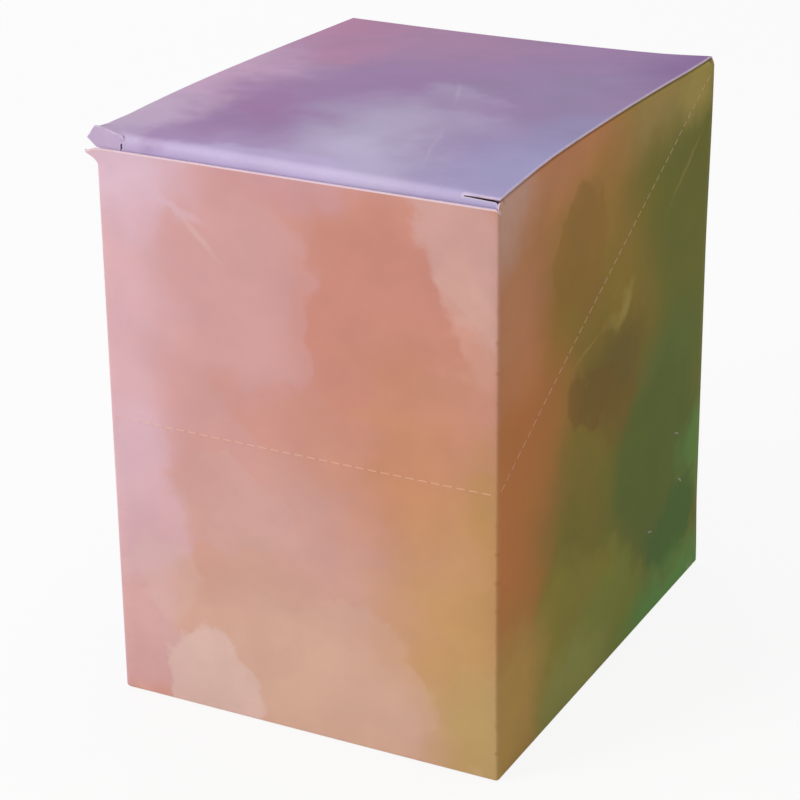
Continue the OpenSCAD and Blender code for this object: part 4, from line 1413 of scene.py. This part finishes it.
class CARTON_OT_set_stage(bpy.types.Operator):
    """Sets up the floor, the lamps, the sky and the camera"""
    bl_idname = "carton.set_stage"
    bl_label = "Set stage"

    def execute(self, context):
        scene, studio = context.scene, context.scene.carton_studio
        self.floor()
        self.sky(scene, studio.sky)
        lamp("key_lamp", (-0.85, -1.05, 0.7), (0, 0, 0.07), 0.9, studio.key)
        lamp("back_lamp", (-0.9, 1.2, 0.1), (0, 0, 0.07), 0.2, studio.back)
        lamp("top_lamp", (0.1, 0.25, 1.2), (0, 0, 0.1), 0.7, studio.top)
        self.camera(scene, studio)
        scene.view_settings.view_transform = "Standard"
        return {"FINISHED"}

    def floor(self):
        """A pale floor that shows white and keeps a faint shadow."""
        mesh = bpy.data.meshes.new("floor")
        build = bmesh.new()
        bmesh.ops.create_grid(build, x_segments=8, y_segments=8, size=6)
        build.to_mesh(mesh)
        build.free()
        floor = bpy.data.objects.new("floor", mesh)
        floor.location.z = -FLOOR_DROP * MM
        bpy.context.scene.collection.objects.link(floor)
        material = bpy.data.materials.new("white_floor")
        material.use_nodes = True
        tree = material.node_tree
        surface = tree.nodes["Principled BSDF"]
        surface.inputs["Base Color"].default_value = (0.85, 0.85, 0.85, 1)
        surface.inputs["Roughness"].default_value = 0.9
        surface.inputs["Specular IOR Level"].default_value = 0.1
        glow = tree.nodes.new("ShaderNodeEmission")
        glow.inputs["Strength"].default_value = 1.0
        blend = tree.nodes.new("ShaderNodeMixShader")
        share = tree.nodes.new("ShaderNodeMath")
        share.operation = "MULTIPLY"
        share.inputs[1].default_value = FLOOR_WHITE
        tree.links.new(seen_directly(tree), share.inputs[0])
        tree.links.new(share.outputs[0], blend.inputs[0])
        tree.links.new(surface.outputs[0], blend.inputs[1])
        tree.links.new(glow.outputs[0], blend.inputs[2])
        tree.links.new(blend.outputs[0], tree.nodes["Material Output"].inputs[0])
        mesh.materials.append(material)

    def sky(self, scene, strength):
        """White behind the object, and an even light from all round."""
        world = bpy.data.worlds.new("studio_sky")
        world.use_nodes = True
        scene.world = world
        tree = world.node_tree
        background = tree.nodes["Background"]
        background.inputs["Color"].default_value = (1, 1, 1, 1)
        level = tree.nodes.new("ShaderNodeMapRange")
        level.inputs["To Min"].default_value = strength
        level.inputs["To Max"].default_value = 1.0
        tree.links.new(seen_directly(tree), level.inputs["Value"])
        tree.links.new(level.outputs[0], background.inputs["Strength"])

    def camera(self, scene, studio):
        """The camera at the photograph's viewing angle."""
        data = bpy.data.cameras.new("camera")
        data.lens = studio.lens
        data.sensor_width = 36
        data.clip_start, data.clip_end = 0.01, 50
        camera = bpy.data.objects.new("camera", data)
        right = Vector((0.89055, 0.45477, -0.01024)).normalized()
        forward = Vector((-0.41957, 0.81250, -0.40473)).normalized()
        up = right.cross(forward)
        turned = Matrix((right, up, -forward)).transposed().to_4x4()
        camera.matrix_world = Matrix.Translation(studio.camera_at) @ turned
        scene.collection.objects.link(camera)
        scene.camera = camera


class CARTON_PT_panel(bpy.types.Panel):
    """Lists the steps that make the carton, and its sizes and colours"""
    bl_label = "Carton"
    bl_idname = "CARTON_PT_panel"
    bl_space_type = "VIEW_3D"
    bl_region_type = "UI"
    bl_category = "Carton"

    def draw(self, context):
        layout = self.layout
        for step in STEPS:
            layout.operator(step.bl_idname)
        for group_name, group_type in GROUPS.items():
            box = layout.box()
            for name in group_type.__annotations__:
                box.prop(getattr(context.scene, group_name), name)


STEPS = (CARTON_OT_fold_carton, CARTON_OT_fold_lid, CARTON_OT_fold_back_crease, CARTON_OT_set_stage)
GROUPS = {"carton_sizes": CartonSizes, "carton_palette": CartonPalette, "carton_studio": StudioSettings}


def register():
    """Registers the classes and hangs the property groups on the scene."""
    for cls in (*GROUPS.values(), *STEPS, CARTON_PT_panel):
        bpy.utils.register_class(cls)
    for name, group in GROUPS.items():
        setattr(bpy.types.Scene, name, PointerProperty(type=group))


def unregister():
    """Takes the property groups and the classes away again."""
    for name in GROUPS:
        delattr(bpy.types.Scene, name)
    for cls in (CARTON_PT_panel, *reversed(STEPS), *reversed(list(GROUPS.values()))):
        bpy.utils.unregister_class(cls)


def main():
    """Makes every piece and the stage."""
    register()
    bpy.ops.carton.fold_carton()
    bpy.ops.carton.fold_lid()
    bpy.ops.carton.fold_back_crease()
    bpy.ops.carton.set_stage()


if __name__ == "__main__":
    main()
